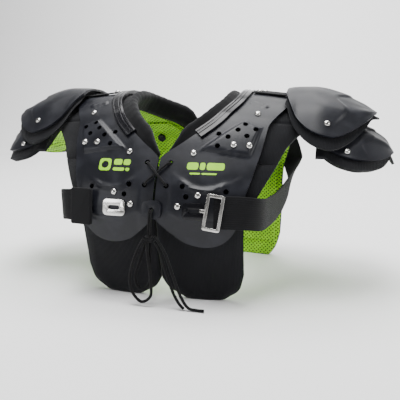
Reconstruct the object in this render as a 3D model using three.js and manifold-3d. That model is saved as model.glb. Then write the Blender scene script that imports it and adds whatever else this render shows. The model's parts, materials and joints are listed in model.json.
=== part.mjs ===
// Youth football shoulder pads, standing on their own front and back pads.
// Two plastic shells run from the chest over the shoulders to the back. Each carries soft body pads inside,
// a padded neck roll, an edge trim, and two domed shoulder caps on pads of their own. A lace draws the shells
// together at the chest, and a webbing strap on each side runs from the back shell to a slotted chest plate.
//
// Frame: millimetres, +Z up, the wearer faces -Y, so the wearer's left is +X. The origin is on the ground under
// the middle of the pads. Places on a shell are given by x and by down, the share of the chest's line from the
// crown of the arch (positive) or of the back's line (negative).
import * as THREE from "three";
import { mergeVertices } from "three/addons/utils/BufferGeometryUtils.js";
import Module from "manifold-3d";

const wasm = await Module();
wasm.setup();

// Driving dimensions
const ARCH_HEIGHT = 249; // ground to the crown of the shell's arch
const FRONT_REACH = 141; // shoulder line forward to the fullest point of the chest
const BACK_REACH = 127; // shoulder line back to the fullest point of the back
const SHOULDER_REACH = 148; // middle plane out to the shell's edge at the shoulder
const SIDE_TURN = 0.17; // share of the reach that is lost at SHOULDER_REACH, as the chest turns to the side
const SHOULDER_DROOP = 11; // how far the arch's crown has dropped at SHOULDER_REACH

const SHELL_WALL = 3;
const PAD_THICKNESS = 12;
const PAD_EDGE = 5; // thickness of a body pad at its sewn edge
const LINING_WALL = 1.8;
const LINING_MARGIN = 6; // how far the lining stops short of the pad's edge
const LAYER_GAP = 1.2; // space between curved layers
const SEAT_GAP = 0.5; // space between a small fitting and what it sits on
const CENTRE_GAP = 1.2; // half of the space between the two sides

const ROLL_WIDTH = 22;
const ROLL_THICKNESS = 16;
const ROLL_OVERLAP = 9; // how far the neck roll reaches under the shell from its edge
const TRIM_WALL = 2.2;
const TRIM_WIDTH = 10; // how far the trim's flange covers the shell
const BAND_WALL = 2;

const HOLE_RADIUS = 3.1;
const POD_HEIGHT = 3.6; // how far the vented pod stands out of the shell
const RIVET_RADIUS = 3.8;
const RIVET_HEIGHT = 2.6;

const CAP_REACH = 241; // middle plane out to the tip of the upper cap
const LOWER_CAP_REACH = 263;
const CAP_DEPTH = 80; // shoulder line forward to the upper cap's front rim
const CAP_REAR = 1.12; // the caps reach this much further back than forward
const CAP_SQUARENESS = 2.2; // 2 is an ellipse, more is boxier
const CAP_FALL_END = 1.6; // share of the half depth where a pad that shows past the rim stops falling
const CAP_WALL = 3;
const UPPER_PAD_THICKNESS = 7;
const LOWER_PAD_THICKNESS = 11;
const CAP_PAD_MARGIN = 8; // how far a cap's pad shows past its rim
const CAP_PAD_EDGE = 0.6; // share of its thickness that a cap's pad keeps at its front and rear edge
const CAP_PAD_TIP = 0.9; // share of a cap's reach from where its pad's margin closes in a round tip

const STRAP_WIDTH = 37;
const STRAP_WALL = 2.2;
const STRAP_REST = 2.6; // how far the flat webbing stands off the curved back shell
const RING_WIDTH = 20;
const RING_HEIGHT = 41;
const RING_BAR = 3.6;
const RING_WALL = 2.6;
const RING_TILT = -0.14; // radians
const PLATE_LENGTH = 29;
const PLATE_HEIGHT = 19;
const PLATE_WALL = 1.8;
const FOLD_WIDTH = 29;
const FOLD_HEIGHT = 43;
const FOLD_WALL = 5;
const TAB_WIDTH = 23;
const TAB_HEIGHT = 21;
const TAB_WALL = 2.4;
const SNAP_RADIUS = 6;
const SNAP_HEIGHT = 3;
const LACE_DIAMETER = 3.4;
const KNOT_WIDTH = 12;

// The arch's line at the shell's outer face. reach is a share of FRONT_REACH ahead of the shoulder line (negative)
// or of BACK_REACH behind it, and rise a share of ARCH_HEIGHT.
const ARCH = [
  { reach: -0.837, rise: 0 },
  { reach: -0.894, rise: 0.161 },
  { reach: -0.965, rise: 0.321 },
  { reach: -1, rise: 0.434 },
  { reach: -0.965, rise: 0.53 },
  { reach: -0.908, rise: 0.602 },
  { reach: -0.794, rise: 0.707 },
  { reach: -0.688, rise: 0.795 },
  { reach: -0.539, rise: 0.884 },
  { reach: -0.348, rise: 0.952 },
  { reach: -0.156, rise: 0.99 },
  { reach: 0.016, rise: 1 },
  { reach: 0.22, rise: 0.99 },
  { reach: 0.433, rise: 0.952 },
  { reach: 0.63, rise: 0.884 },
  { reach: 0.78, rise: 0.791 },
  { reach: 0.874, rise: 0.691 },
  { reach: 0.945, rise: 0.586 },
  { reach: 0.992, rise: 0.462 },
  { reach: 1.008, rise: 0.321 },
  { reach: 1, rise: 0.161 },
  { reach: 0.969, rise: 0 },
];

// Edges of the shell and of the pads under it, as shares of SHOULDER_REACH from the middle plane.
const FRONT_EDGES = [
  { down: 0, neck: 0.541, side: 1.007, pad: 1.135 },
  { down: 0.09, neck: 0.541, side: 1, pad: 1.135 },
  { down: 0.174, neck: 0.514, side: 0.932, pad: 1.128 },
  { down: 0.245, neck: 0.446, side: 0.865, pad: 1.108 },
  { down: 0.3, neck: 0.372, side: 0.812, pad: 1.068 },
  { down: 0.349, neck: 0.27, side: 0.797, pad: 1.007 },
  { down: 0.398, neck: 0.152, side: 0.784, pad: 0.953 },
  { down: 0.434, neck: 0.054, side: 0.77, pad: 0.926 },
  { down: 0.459, neck: 0.008, side: 0.757, pad: 0.905 },
  { down: 0.532, neck: 0.008, side: 0.723, pad: 0.838 },
  { down: 0.612, neck: 0.008, side: 0.676, pad: 0.763 },
  { down: 0.7, neck: 0.008, side: 0.655, pad: 0.695 },
  { down: 0.783, neck: 0.008, side: 0.655, pad: 0.682 },
  { down: 1.02, neck: 0.008, side: 0.655, pad: 0.676 },
];
const BACK_EDGES = [
  { down: 0, neck: 0.541, side: 1.007, pad: 1.135 },
  { down: 0.08, neck: 0.534, side: 1, pad: 1.135 },
  { down: 0.148, neck: 0.486, side: 0.946, pad: 1.128 },
  { down: 0.215, neck: 0.385, side: 0.885, pad: 1.108 },
  { down: 0.28, neck: 0.223, side: 0.838, pad: 1.054 },
  { down: 0.337, neck: 0.101, side: 0.811, pad: 0.973 },
  { down: 0.38, neck: 0.008, side: 0.797, pad: 0.919 },
  { down: 0.473, neck: 0.008, side: 0.77, pad: 0.865 },
  { down: 0.55, neck: 0.008, side: 0.743, pad: 0.824 },
  { down: 0.63, neck: 0.008, side: 0.703, pad: 0.811 },
  { down: 0.74, neck: 0.008, side: 0.662, pad: 0.811 },
  { down: 1.02, neck: 0.008, side: 0.662, pad: 0.79 },
];

// Where the shells and the pads end below, from the middle (across 0) to the side (across 1).
const FRONT_SHELL_FOOT = [
  { across: 0, down: 0.679 },
  { across: 0.155, down: 0.722 },
  { across: 0.32, down: 0.761 },
  { across: 0.55, down: 0.78 },
  { across: 0.74, down: 0.772 },
  { across: 0.88, down: 0.743 },
  { across: 0.97, down: 0.7 },
  { across: 1, down: 0.66 },
];
const BACK_SHELL_FOOT = [
  { across: 0, down: 0.631 },
  { across: 0.155, down: 0.678 },
  { across: 0.32, down: 0.725 },
  { across: 0.55, down: 0.75 },
  { across: 0.74, down: 0.744 },
  { across: 0.88, down: 0.71 },
  { across: 1, down: 0.64 },
];
const FRONT_PAD_FOOT = [
  { across: 0, down: 0.93 },
  { across: 0.07, down: 0.963 },
  { across: 0.18, down: 0.984 },
  { across: 0.36, down: 1.012 },
  { across: 0.68, down: 1.012 },
  { across: 0.84, down: 0.985 },
  { across: 0.95, down: 0.955 },
  { across: 1, down: 0.9 },
];
const BACK_PAD_FOOT = [
  { across: 0, down: 0.94 },
  { across: 0.08, down: 0.97 },
  { across: 0.24, down: 1.012 },
  { across: 0.84, down: 1.012 },
  { across: 0.93, down: 0.975 },
  { across: 0.97, down: 0.94 },
  { across: 1, down: 0.89 },
];
const FRONT_SEAM = 0.456; // where the front pad meets the shoulder pad
const BACK_SEAM = 0.47;
const SEAM_GAP = 0.003;
const LINING_SPAN = { top: -0.29, foot: -0.93 };
const TRIM_SPAN = { front: 0.352, back: -0.3 };
const ROLL_DOWNS = [
  0.436, 0.41, 0.375, 0.335, 0.285, 0.23, 0.17, 0.09, 0, -0.09, -0.155, -0.205, -0.255, -0.3, -0.34, -0.36,
];
// The roll thins out towards its ends, where the two sides meet.
const ROLL_SIZE = [
  { along: 0, size: 0.36 },
  { along: 0.07, size: 0.62 },
  { along: 0.17, size: 1 },
  { along: 0.83, size: 1 },
  { along: 0.93, size: 0.62 },
  { along: 1, size: 0.36 },
];

// The caps' sections across the shoulder. out is a share of the cap's reach, front the half depth as a share of
// CAP_DEPTH, ridge and rim are heights as shares of ARCH_HEIGHT, and pad is the share of the pad's thickness.
// The row past 1 is the tip of the pad alone.
const UPPER_CAP = [
  { out: 0.558, front: 0.48, ridge: 1.006, rim: 0.98, pad: 0.2 },
  { out: 0.585, front: 0.7, ridge: 1.01, rim: 0.932, pad: 0.28 },
  { out: 0.622, front: 0.87, ridge: 1.01, rim: 0.866, pad: 0.3 },
  { out: 0.684, front: 0.97, ridge: 1.004, rim: 0.815, pad: 0.6 },
  { out: 0.747, front: 1, ridge: 0.99, rim: 0.791, pad: 1 },
  { out: 0.809, front: 0.95, ridge: 0.972, rim: 0.783, pad: 1 },
  { out: 0.871, front: 0.825, ridge: 0.949, rim: 0.803, pad: 1 },
  { out: 0.929, front: 0.62, ridge: 0.922, rim: 0.835, pad: 0.9 },
  { out: 0.975, front: 0.37, ridge: 0.9, rim: 0.867, pad: 0.6 },
  { out: 1, front: 0.12, ridge: 0.887, rim: 0.884, pad: 0.45 },
  { out: 1.024, front: 0.04, ridge: 0.874, rim: 0.872, pad: 0.3 },
];
const LOWER_CAP = [
  { out: 0.7, front: 0.9, ridge: 0.856, rim: 0.735, pad: 0.8 },
  { out: 0.76, front: 0.93, ridge: 0.845, rim: 0.703, pad: 0.95 },
  { out: 0.82, front: 0.93, ridge: 0.822, rim: 0.686, pad: 1 },
  { out: 0.875, front: 0.84, ridge: 0.805, rim: 0.677, pad: 1 },
  { out: 0.925, front: 0.64, ridge: 0.78, rim: 0.672, pad: 0.95 },
  { out: 0.965, front: 0.42, ridge: 0.748, rim: 0.676, pad: 0.7 },
  { out: 0.99, front: 0.24, ridge: 0.713, rim: 0.686, pad: 0.5 },
  { out: 1, front: 0.14, ridge: 0.697, rim: 0.692, pad: 0.4 },
  { out: 1.024, front: 0.04, ridge: 0.645, rim: 0.643, pad: 0.3 },
];
// Each pad starts at a share (root) of its cap's inner edge, and lies gap millimetres under the cap.
const UPPER_PAD = { root: 1.015, gap: 2.04, thickness: UPPER_PAD_THICKNESS };
const LOWER_PAD = { root: 0.94, gap: 1.5, thickness: LOWER_PAD_THICKNESS };

// Features on the chest. across is a share of SHOULDER_REACH.
const VENT_HOLES = [
  { across: 0.632, down: 0.312 },
  { across: 0.716, down: 0.333 },
  { across: 0.581, down: 0.339 },
  { across: 0.655, down: 0.364 },
  { across: 0.514, down: 0.37 },
  { across: 0.436, down: 0.352 },
  { across: 0.443, down: 0.407 },
];
const SPARE_HOLES = [
  { across: 0.547, down: 0.575 },
  { across: 0.216, down: 0.56 },
  { across: 0.25, down: 0.596 },
];
const LACE_HOLES = [
  { across: 0.095, down: 0.474 },
  { across: 0.088, down: 0.56 },
];
const BACK_LACE_HOLES = [
  { across: 0.095, down: -0.43 },
  { across: 0.095, down: -0.55 },
];
const POD_CORNERS = {
  top: { across: 0.615, down: 0.297 },
  side: { across: 0.75, down: 0.322 },
  foot: { across: 0.689, down: 0.44 },
  tip: { across: 0.33, down: 0.418 },
};
const SHELL_RIVETS = {
  rivet_top: { across: 0.709, down: 0.246, lift: 0 },
  rivet_vent_side: { across: 0.682, down: 0.403, lift: 1 },
  rivet_vent_middle: { across: 0.564, down: 0.402, lift: 1 },
  rivet_neck: { across: 0.264, down: 0.434, lift: 0 },
  rivet_chest: { across: 0.341, down: 0.59, lift: 0 },
  rivet_buckle: { across: 0.19, down: 0.63, lift: 0 },
};
const CAP_RIVETS = {
  rivet_upper_cap: { table: UPPER_CAP, reach: CAP_REACH, out: 0.765, across: -0.87 },
  rivet_lower_cap: { table: LOWER_CAP, reach: LOWER_CAP_REACH, out: 0.79, across: -0.93 },
};
// The band that carries the caps. down and across are shares of its line on the shell. Past the shell, out is a
// share of LOWER_CAP_REACH and rise a share of ARCH_HEIGHT.
const BAND_HALF_WIDTH = 0.072;
const BAND_ROOT = 0.62;
const BAND_FALL = [
  { out: 0.63, rise: 0.93 },
  { out: 0.675, rise: 0.888 },
  { out: 0.723, rise: 0.855 },
];
const BAND_RIVETS = [
  { across: 0.66, down: 0.03 },
  { across: 0.69, down: -0.03 },
];

// Where the fittings sit. The webbing passes under the ring and under the fold.
const PLATE_SEAT = { across: 0.326, down: 0.645 };
const RING_SEAT = { across: 0.466, down: 0.647 };
const FOLD_SEAT = { across: 0.605, down: 0.649 };
const TAB_SEAT = { across: -0.01, down: 0.645 };
const SNAP_SEAT = { across: 0.46, down: -0.39 };

// The straps' middle line behind the chest. x, y and z are shares of SHOULDER_REACH, FRONT_REACH and ARCH_HEIGHT,
// and look is the direction that the webbing's outer face looks in, in degrees from the wearer's left.
const STRAP_LINE = [
  { x: 0.737, y: -0.895, z: 0.448, look: -55 },
  { x: 0.797, y: -0.785, z: 0.434, look: -28 },
  { x: 0.815, y: -0.42, z: 0.41, look: -4 },
  { x: 0.83, y: 0, z: 0.4, look: 0 },
  { x: 0.855, y: 0.3, z: 0.42, look: 8 },
  { x: 0.885, y: 0.55, z: 0.468, look: 18 },
  { x: 0.9, y: 0.72, z: 0.53, look: 38 },
  { x: 0.88, y: 0.79, z: 0.6, look: 62 },
];
const STRAP_CHEST = 0.66; // share of SHOULDER_REACH where the strap leaves the chest
const STRAP_BACK = [
  { across: 0.81, down: -0.43 },
  { across: 0.745, down: -0.375 },
];
const SLACK = 0.08; // the right strap's bulge, as a share of SHOULDER_REACH

// The free lace hangs in front of the pads from its knot. x and z are shares of ARCH_HEIGHT, and behind counts
// lace diameters back from the knot's plane.
const KNOT = { x: -0.012, z: 0.329, behind: 0 };
const LACE_PLANE = -1.045; // share of FRONT_REACH
const FREE_LACE = {
  lace_loop_outer: [
    { x: -0.0385, z: 0.325, behind: 0 },
    { x: -0.075, z: 0.26, behind: 0 },
    { x: -0.112, z: 0.125, behind: 0 },
    { x: -0.098, z: 0.062, behind: 0 },
    { x: -0.055, z: 0.022, behind: 0 },
    { x: -0.012, z: 0.05, behind: 0 },
    { x: -0.008, z: 0.13, behind: 0 },
    { x: -0.022, z: 0.262, behind: 0 },
    { x: -0.022, z: 0.3085, behind: 0 },
  ],
  lace_loop_inner: [
    { x: -0.027, z: 0.319, behind: 1.25 },
    { x: -0.066, z: 0.215, behind: 1.25 },
    { x: -0.09, z: 0.13, behind: 1.25 },
    { x: -0.076, z: 0.086, behind: 1.25 },
    { x: -0.046, z: 0.078, behind: 1.25 },
    { x: -0.018, z: 0.12, behind: 1.25 },
    { x: -0.016, z: 0.2, behind: 1.25 },
    { x: -0.013, z: 0.306, behind: 1.25 },
  ],
  lace_tail_short: [
    { x: 0.0135, z: 0.3175, behind: 0 },
    { x: 0.038, z: 0.272, behind: 0 },
    { x: 0.068, z: 0.17, behind: 0 },
    { x: 0.104, z: 0.072, behind: 0 },
    { x: 0.128, z: 0.03, behind: 0 },
    { x: 0.15, z: 0.0078, behind: 0 },
  ],
  lace_tail_long: [
    { x: 0.0145, z: 0.341, behind: 0 },
    { x: 0.06, z: 0.27, behind: 0 },
    { x: 0.1, z: 0.16, behind: 0 },
    { x: 0.136, z: 0.066, behind: 0 },
    { x: 0.172, z: 0.014, behind: 0 },
    { x: 0.21, z: 0.0078, behind: 0 },
    { x: 0.245, z: 0.0078, behind: 0 },
  ],
};

const spread = (from, to, count) => Array.from({ length: count + 1 }, (_, i) => from + ((to - from) * i) / count);
const { lerp, degToRad, smoothstep } = THREE.MathUtils;

// Smooth lookup of one column of a table against another, by cubic pieces through the rows.
function column(table, key, value) {
  const k = table.map((row) => row[key]);
  const v = table.map((row) => row[value]);
  const last = k.length - 1;
  const slope = k.map((_, i) => {
    const a = Math.max(0, i - 1);
    const b = Math.min(last, i + 1);
    return (v[b] - v[a]) / (k[b] - k[a]);
  });
  return (at) => {
    if (at <= k[0]) return v[0];
    if (at >= k[last]) return v[last];
    const i = k.findIndex((_, j) => at < k[j + 1]);
    const h = k[i + 1] - k[i];
    const t = (at - k[i]) / h;
    const rise = v[i + 1] - v[i];
    const [start, end] = [slope[i] * h, slope[i + 1] * h];
    return v[i] + t * (start + t * (3 * rise - 2 * start - end + t * (start + end - 2 * rise)));
  };
}

// The two halves of the arch's line, each walked from the crown to the ground.
const CROWN = ARCH.findIndex((row) => row.rise === 1);
function archHalf(rows) {
  const points = rows.map(({ reach, rise }) => {
    return new THREE.Vector3(0, reach * (reach < 0 ? FRONT_REACH : BACK_REACH), rise * ARCH_HEIGHT);
  });
  const curve = new THREE.CatmullRomCurve3(points, false, "centripetal");
  curve.arcLengthDivisions = 400;
  return curve;
}
const frontArch = archHalf(ARCH.slice(0, CROWN + 1).reverse());
const backArch = archHalf(ARCH.slice(CROWN));

function archLine(down) {
  const curve = down >= 0 ? frontArch : backArch;
  const share = Math.abs(down);
  if (share <= 1) return curve.getPointAt(share);
  return curve.getPointAt(1).addScaledVector(curve.getTangentAt(1), (share - 1) * curve.getLength());
}

// The shell's outer face, its outward direction, and points under it.
function face(x, down) {
  const line = archLine(down);
  const turn = (x / SHOULDER_REACH) ** 2;
  const droop = SHOULDER_DROOP * turn * Math.max(0, line.z / ARCH_HEIGHT) ** 4;
  return new THREE.Vector3(x, line.y * (1 - SIDE_TURN * turn), line.z - droop);
}
function faceNormal(x, down) {
  const step = 0.004;
  const alongX = face(x + 1, down).sub(face(x - 1, down));
  const alongDown = face(x, down + step).sub(face(x, down - step));
  return alongDown.cross(alongX).normalize();
}
const under = (x, down, depth) => face(x, down).addScaledVector(faceNormal(x, down), -depth);

const edge = (key) => {
  const front = column(FRONT_EDGES, "down", key);
  const back = column(BACK_EDGES, "down", key);
  return (down) => SHOULDER_REACH * (down >= 0 ? front(down) : back(-down));
};
const neckLine = edge("neck");
const neckEdge = (down) => Math.max(CENTRE_GAP, neckLine(down));
const sideEdge = edge("side");
const padSide = edge("pad");

// The body pads start beside the neck roll, and past its ends they run close to the middle plane.
function padNeck(down) {
  const step = 0.01;
  const line = (down >= 0 ? frontArch : backArch).getLength();
  const slant = Math.hypot(1, (neckEdge(down + step) - neckEdge(down - step)) / (2 * step * line));
  const past = Math.abs(down) - Math.abs(down > 0 ? ROLL_DOWNS[0] : ROLL_DOWNS.at(-1));
  const beside = 1 - smoothstep(past, 0.01, 0.05);
  const clear = (ROLL_OVERLAP + 2.5 * LAYER_GAP) * slant;
  return Math.max(neckEdge(down) + clear * beside, CENTRE_GAP + SEAT_GAP);
}

function closed(points, faces) {
  let volume = 0;
  for (let i = 0; i < faces.length; i += 3) {
    const [a, b, c] = [points[faces[i]], points[faces[i + 1]], points[faces[i + 2]]];
    volume += a.dot(b.clone().cross(c));
  }
  const geometry = new THREE.BufferGeometry().setFromPoints(points);
  geometry.setIndex(volume < 0 ? faces.reverse() : faces);
  return geometry;
}

// Closes the outer and the inner grid of a wall into one solid.
function wall(outer, inner) {
  const [rows, cols] = [outer.length, outer[0].length];
  const back = rows * cols;
  const at = (i, j) => i * cols + j;
  const faces = [];
  const quad = (a, b, c, d) => faces.push(a, b, c, a, c, d);
  for (let i = 0; i < rows - 1; i++) {
    for (let j = 0; j < cols - 1; j++) {
      quad(at(i, j), at(i, j + 1), at(i + 1, j + 1), at(i + 1, j));
      quad(back + at(i, j), back + at(i + 1, j), back + at(i + 1, j + 1), back + at(i, j + 1));
    }
  }
  const rim = [];
  for (let j = 0; j < cols; j++) rim.push(at(0, j));
  for (let i = 1; i < rows; i++) rim.push(at(i, cols - 1));
  for (let j = cols - 2; j >= 0; j--) rim.push(at(rows - 1, j));
  for (let i = rows - 2; i > 0; i--) rim.push(at(i, 0));
  rim.forEach((a, k) => {
    const b = rim[(k + 1) % rim.length];
    quad(a, back + a, back + b, b);
  });
  return closed([...outer.flat(), ...inner.flat()], faces);
}

// Joins rings of equal count into a closed tube. ends splits the last ring into triangles.
function loft(rings, ends) {
  const n = rings[0].length;
  const last = (rings.length - 1) * n;
  const faces = [];
  for (let i = 0; i < last; i += n) {
    for (let j = 0; j < n; j++) {
      const k = (j + 1) % n;
      faces.push(i + j, i + k, i + n + k, i + j, i + n + k, i + n + j);
    }
  }
  for (const [a, b, c] of ends) faces.push(a, c, b, last + a, last + b, last + c);
  return closed(rings.flat(), faces);
}

function toSolid(geometry) {
  const bare = geometry.clone();
  bare.deleteAttribute("normal");
  bare.deleteAttribute("uv");
  const merged = mergeVertices(bare, 1e-3);
  return new wasm.Manifold(
    new wasm.Mesh({
      numProp: 3,
      vertProperties: new Float32Array(merged.getAttribute("position").array),
      triVerts: new Uint32Array(merged.index.array),
    }),
  );
}
function toGeometry(solid) {
  const mesh = solid.getMesh();
  const geometry = new THREE.BufferGeometry();
  geometry.setAttribute("position", new THREE.BufferAttribute(new Float32Array(mesh.vertProperties), 3));
  geometry.setIndex([...mesh.triVerts]);
  return geometry;
}
function cut(geometry, tools) {
  const left = tools.reduce((solid, tool) => solid.subtract(toSolid(tool)), toSolid(geometry));
  return toGeometry(left.simplify(0.05));
}
function join([first, ...others]) {
  const whole = others.reduce((solid, next) => solid.add(toSolid(next)), toSolid(first));
  return toGeometry(whole.simplify(0.05));
}

// Places something made flat in XY and facing +Z, with its middle at a point and facing along a direction.
function facing(point, normal, turn = 0) {
  const right = new THREE.Vector3(1, 0, 0).addScaledVector(normal, -normal.x).normalize();
  const matrix = new THREE.Matrix4().makeBasis(right, normal.clone().cross(right), normal);
  return matrix.multiply(new THREE.Matrix4().makeRotationZ(turn)).setPosition(point);
}
function onShell({ across, down }, lift = 0, turn = 0) {
  const x = across * SHOULDER_REACH;
  return facing(under(x, down, -lift), faceNormal(x, down), turn);
}

// A grid over one side of the object, from the neck edge (across 0) to the side (across 1).
function bodyGrid({ acrosses, rows, neck, side, downAt, depthAt }) {
  return rows.map((row) =>
    acrosses.map((across) => {
      const down = downAt(row, across);
      return under(lerp(neck(down), side(down), across), down, depthAt(across));
    }),
  );
}

function shell() {
  const front = column(FRONT_SHELL_FOOT, "across", "down");
  const back = column(BACK_SHELL_FOOT, "across", "down");
  const grid = (depth) =>
    bodyGrid({
      acrosses: [0, 0.16, 0.4, 0.66, 0.87, 0.97, 1],
      rows: [...spread(1, 0, 13), ...spread(0, -1, 11).slice(1)],
      neck: neckEdge,
      side: sideEdge,
      downAt: (row, across) => row * (row > 0 ? front(across) : back(across)),
      depthAt: () => depth,
    });
  const drill = new THREE.CylinderGeometry(HOLE_RADIUS, HOLE_RADIUS, 6 * POD_HEIGHT, 6).rotateX(Math.PI / 2);
  const holes = [...VENT_HOLES, ...SPARE_HOLES, ...LACE_HOLES, ...BACK_LACE_HOLES];
  const tools = holes.map((spot) => drill.clone().applyMatrix4(onShell(spot)));
  return cut(join([wall(grid(0), grid(SHELL_WALL)), pod()]), tools);
}

// The raised pod around the vent holes, a four-cornered patch with sloping sides.
function pod() {
  const { top, side, foot, tip } = POD_CORNERS;
  const mix = (key, u, v) => lerp(lerp(top[key], side[key], u), lerp(tip[key], foot[key], u), v);
  const patch = (margin, lift) =>
    spread(-margin, 1 + margin, 3).map((v) =>
      spread(-margin, 1 + margin, 3).map((u) => {
        return under(mix("across", u, v) * SHOULDER_REACH, mix("down", u, v), -lift);
      }),
    );
  return wall(patch(0, POD_HEIGHT), patch(0.08, -SHELL_WALL / 2));
}

// Body pads are full inside and thinner at their sewn edges.
const PAD_MIDDLE = SHELL_WALL + 1.5 * LAYER_GAP + PAD_THICKNESS / 2;
function bodyPad(rows, downAt) {
  const half = (across) => (across === 0 || across === 1 ? PAD_EDGE : PAD_THICKNESS) / 2;
  const grid = (way) =>
    bodyGrid({
      acrosses: [0, 0.08, 0.2, 0.42, 0.7, 0.84, 0.94, 1],
      rows,
      neck: padNeck,
      side: padSide,
      downAt,
      depthAt: (across) => PAD_MIDDLE + way * half(across),
    });
  return wall(grid(-1), grid(1));
}
function hangingPad(seam, footTable, way) {
  const foot = column(footTable, "across", "down");
  const pad = bodyPad(spread(0, 1, 7), (row, across) => way * lerp(seam + SEAM_GAP, foot(across), row));
  const ground = new THREE.BoxGeometry(4 * SHOULDER_REACH, 4 * FRONT_REACH, ARCH_HEIGHT);
  return cut(pad, [ground.translate(0, 0, -ARCH_HEIGHT / 2)]);
}
function shoulderPad() {
  return bodyPad([...spread(FRONT_SEAM, 0, 6), ...spread(0, -BACK_SEAM, 6).slice(1)], (row) => row);
}

// The mesh lining of the back, a skin inside the pads.
const LINING_DEPTH = PAD_MIDDLE + PAD_THICKNESS / 2 + LAYER_GAP;
function backLining() {
  const grid = (depth) =>
    bodyGrid({
      acrosses: spread(0, 1, 3),
      rows: spread(LINING_SPAN.top, LINING_SPAN.foot, 7),
      neck: (down) => padNeck(down) + LINING_MARGIN,
      side: (down) => padSide(down) - LINING_MARGIN,
      downAt: (row) => row,
      depthAt: () => depth,
    });
  return wall(grid(LINING_DEPTH), grid(LINING_DEPTH + LINING_WALL));
}
function snap() {
  const { across, down } = SNAP_SEAT;
  const x = across * SHOULDER_REACH;
  const top = LINING_DEPTH + LINING_WALL + LAYER_GAP;
  const inward = faceNormal(x, down).negate();
  const stud = new THREE.CylinderGeometry(SNAP_RADIUS * 0.8, SNAP_RADIUS, SNAP_HEIGHT, 10);
  stud.rotateX(Math.PI / 2).translate(0, 0, SNAP_HEIGHT / 2);
  return stud.applyMatrix4(facing(under(x, down, top), inward));
}

// Sweeps a section along the neck edge. into runs over the shell from its edge, and up out of its outer face.
function alongNeck(downs, ends, sectionAt) {
  const rings = downs.map((down, i) => {
    const ahead = downs[Math.min(downs.length - 1, i + 1)];
    const behind = downs[Math.max(0, i - 1)];
    const tangent = face(neckEdge(ahead), ahead).sub(face(neckEdge(behind), behind)).normalize();
    const normal = faceNormal(neckEdge(down), down);
    const into = tangent.cross(normal);
    if (into.x < 0) into.negate();
    return sectionAt(i / (downs.length - 1)).map((corner) => {
      return face(neckEdge(down), down).addScaledVector(into, corner.into).addScaledVector(normal, corner.up);
    });
  });
  return loft(rings, ends);
}

function neckRoll() {
  const sides = 8;
  const size = column(ROLL_SIZE, "along", "size");
  const middle = { into: ROLL_OVERLAP - ROLL_WIDTH / 2, up: -SHELL_WALL - LAYER_GAP - ROLL_THICKNESS / 2 };
  const ends = spread(1, sides - 2, sides - 3).map((i) => [0, i, i + 1]);
  return alongNeck(ROLL_DOWNS, ends, (along) => {
    const shrink = (ROLL_WIDTH / 3) * (1 - size(along));
    return spread(0, 2 * Math.PI, sides).slice(1).map((angle) => ({
      into: middle.into + shrink + (Math.cos(angle) * size(along) * ROLL_WIDTH) / 2,
      up: middle.up + (Math.sin(angle) * size(along) * ROLL_THICKNESS) / 2,
    }));
  });
}

// A strip hooked over the shell's neck edge, with a flange on its outer face.
function neckTrim() {
  const near = LAYER_GAP * 0.8;
  const far = TRIM_WALL + near;
  const section = [
    { into: -far, up: far },
    { into: TRIM_WIDTH, up: far },
    { into: TRIM_WIDTH, up: near },
    { into: -near, up: near },
    { into: -near, up: -SHELL_WALL },
    { into: -far, up: -SHELL_WALL },
  ];
  const ends = [
    [0, 1, 3],
    [1, 2, 3],
    [0, 3, 4],
    [0, 4, 5],
  ];
  return alongNeck(spread(TRIM_SPAN.front, TRIM_SPAN.back, 15), ends, () => section);
}

// A webbing band that carries the caps: across the crown from beside the neck, then down onto the lower cap.
function capBand() {
  const low = (SEAT_GAP + LAYER_GAP) / 2;
  const rows = spread(BAND_HALF_WIDTH, -BAND_HALF_WIDTH * 0.75, 2).map((down) => {
    const onCrown = spread(BAND_ROOT, 1, 2).map((across) => under(across * SHOULDER_REACH, down, -low));
    const { y } = onCrown.at(-1);
    const past = BAND_FALL.map(({ out, rise }) => new THREE.Vector3(out * LOWER_CAP_REACH, y, rise * ARCH_HEIGHT));
    return [...onCrown, ...past];
  });
  const raised = rows.map((row) =>
    row.map((point, i) => {
      const along = (row[i + 1] ?? point).clone().sub(row[i - 1] ?? point);
      return point.clone().addScaledVector(new THREE.Vector3(-along.z, 0, along.x).normalize(), BAND_WALL);
    }),
  );
  const heads = BAND_RIVETS.map((spot) => rivet(-BAND_WALL / 2).applyMatrix4(onShell(spot, low + BAND_WALL)));
  return join([wall(raised, rows), ...heads]);
}

// A cap's outer face. across runs from the front rim (-1) over the ridge (0) to the rear rim (1).
function capFace(table, reach) {
  const [front, ridge, rim] = ["front", "ridge", "rim"].map((key) => column(table, "out", key));
  const point = (out, across) => {
    const half = CAP_DEPTH * front(out) * (across > 0 ? CAP_REAR : 1);
    const fall = (ridge(out) - rim(out)) * Math.min(Math.abs(across), CAP_FALL_END) ** CAP_SQUARENESS;
    return new THREE.Vector3(out * reach, across * half, (ridge(out) - fall) * ARCH_HEIGHT);
  };
  const normal = (out, across) => {
    const step = 0.015;
    const to = Math.min(out + step, table.at(-1).out);
    const alongOut = point(to, across).sub(point(to - 2 * step, across));
    const alongAcross = point(out, across + step).sub(point(out, across - step));
    return alongOut.cross(alongAcross).normalize();
  };
  const below = (out, across, depth) => point(out, across).addScaledVector(normal(out, across), -depth);
  return { normal, below };
}
const CAP_ACROSS = [-1, -0.84, -0.45, 0, 0.45, 0.84, 1];
function cap(table, reach) {
  const { below } = capFace(table, reach);
  const outs = table.map(({ out }) => out).filter((out) => out <= 1); // the last row belongs to the pad
  const grid = (depth) => outs.map((out) => CAP_ACROSS.map((across) => below(out, across, depth)));
  return wall(grid(0), grid(CAP_WALL));
}

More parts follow.
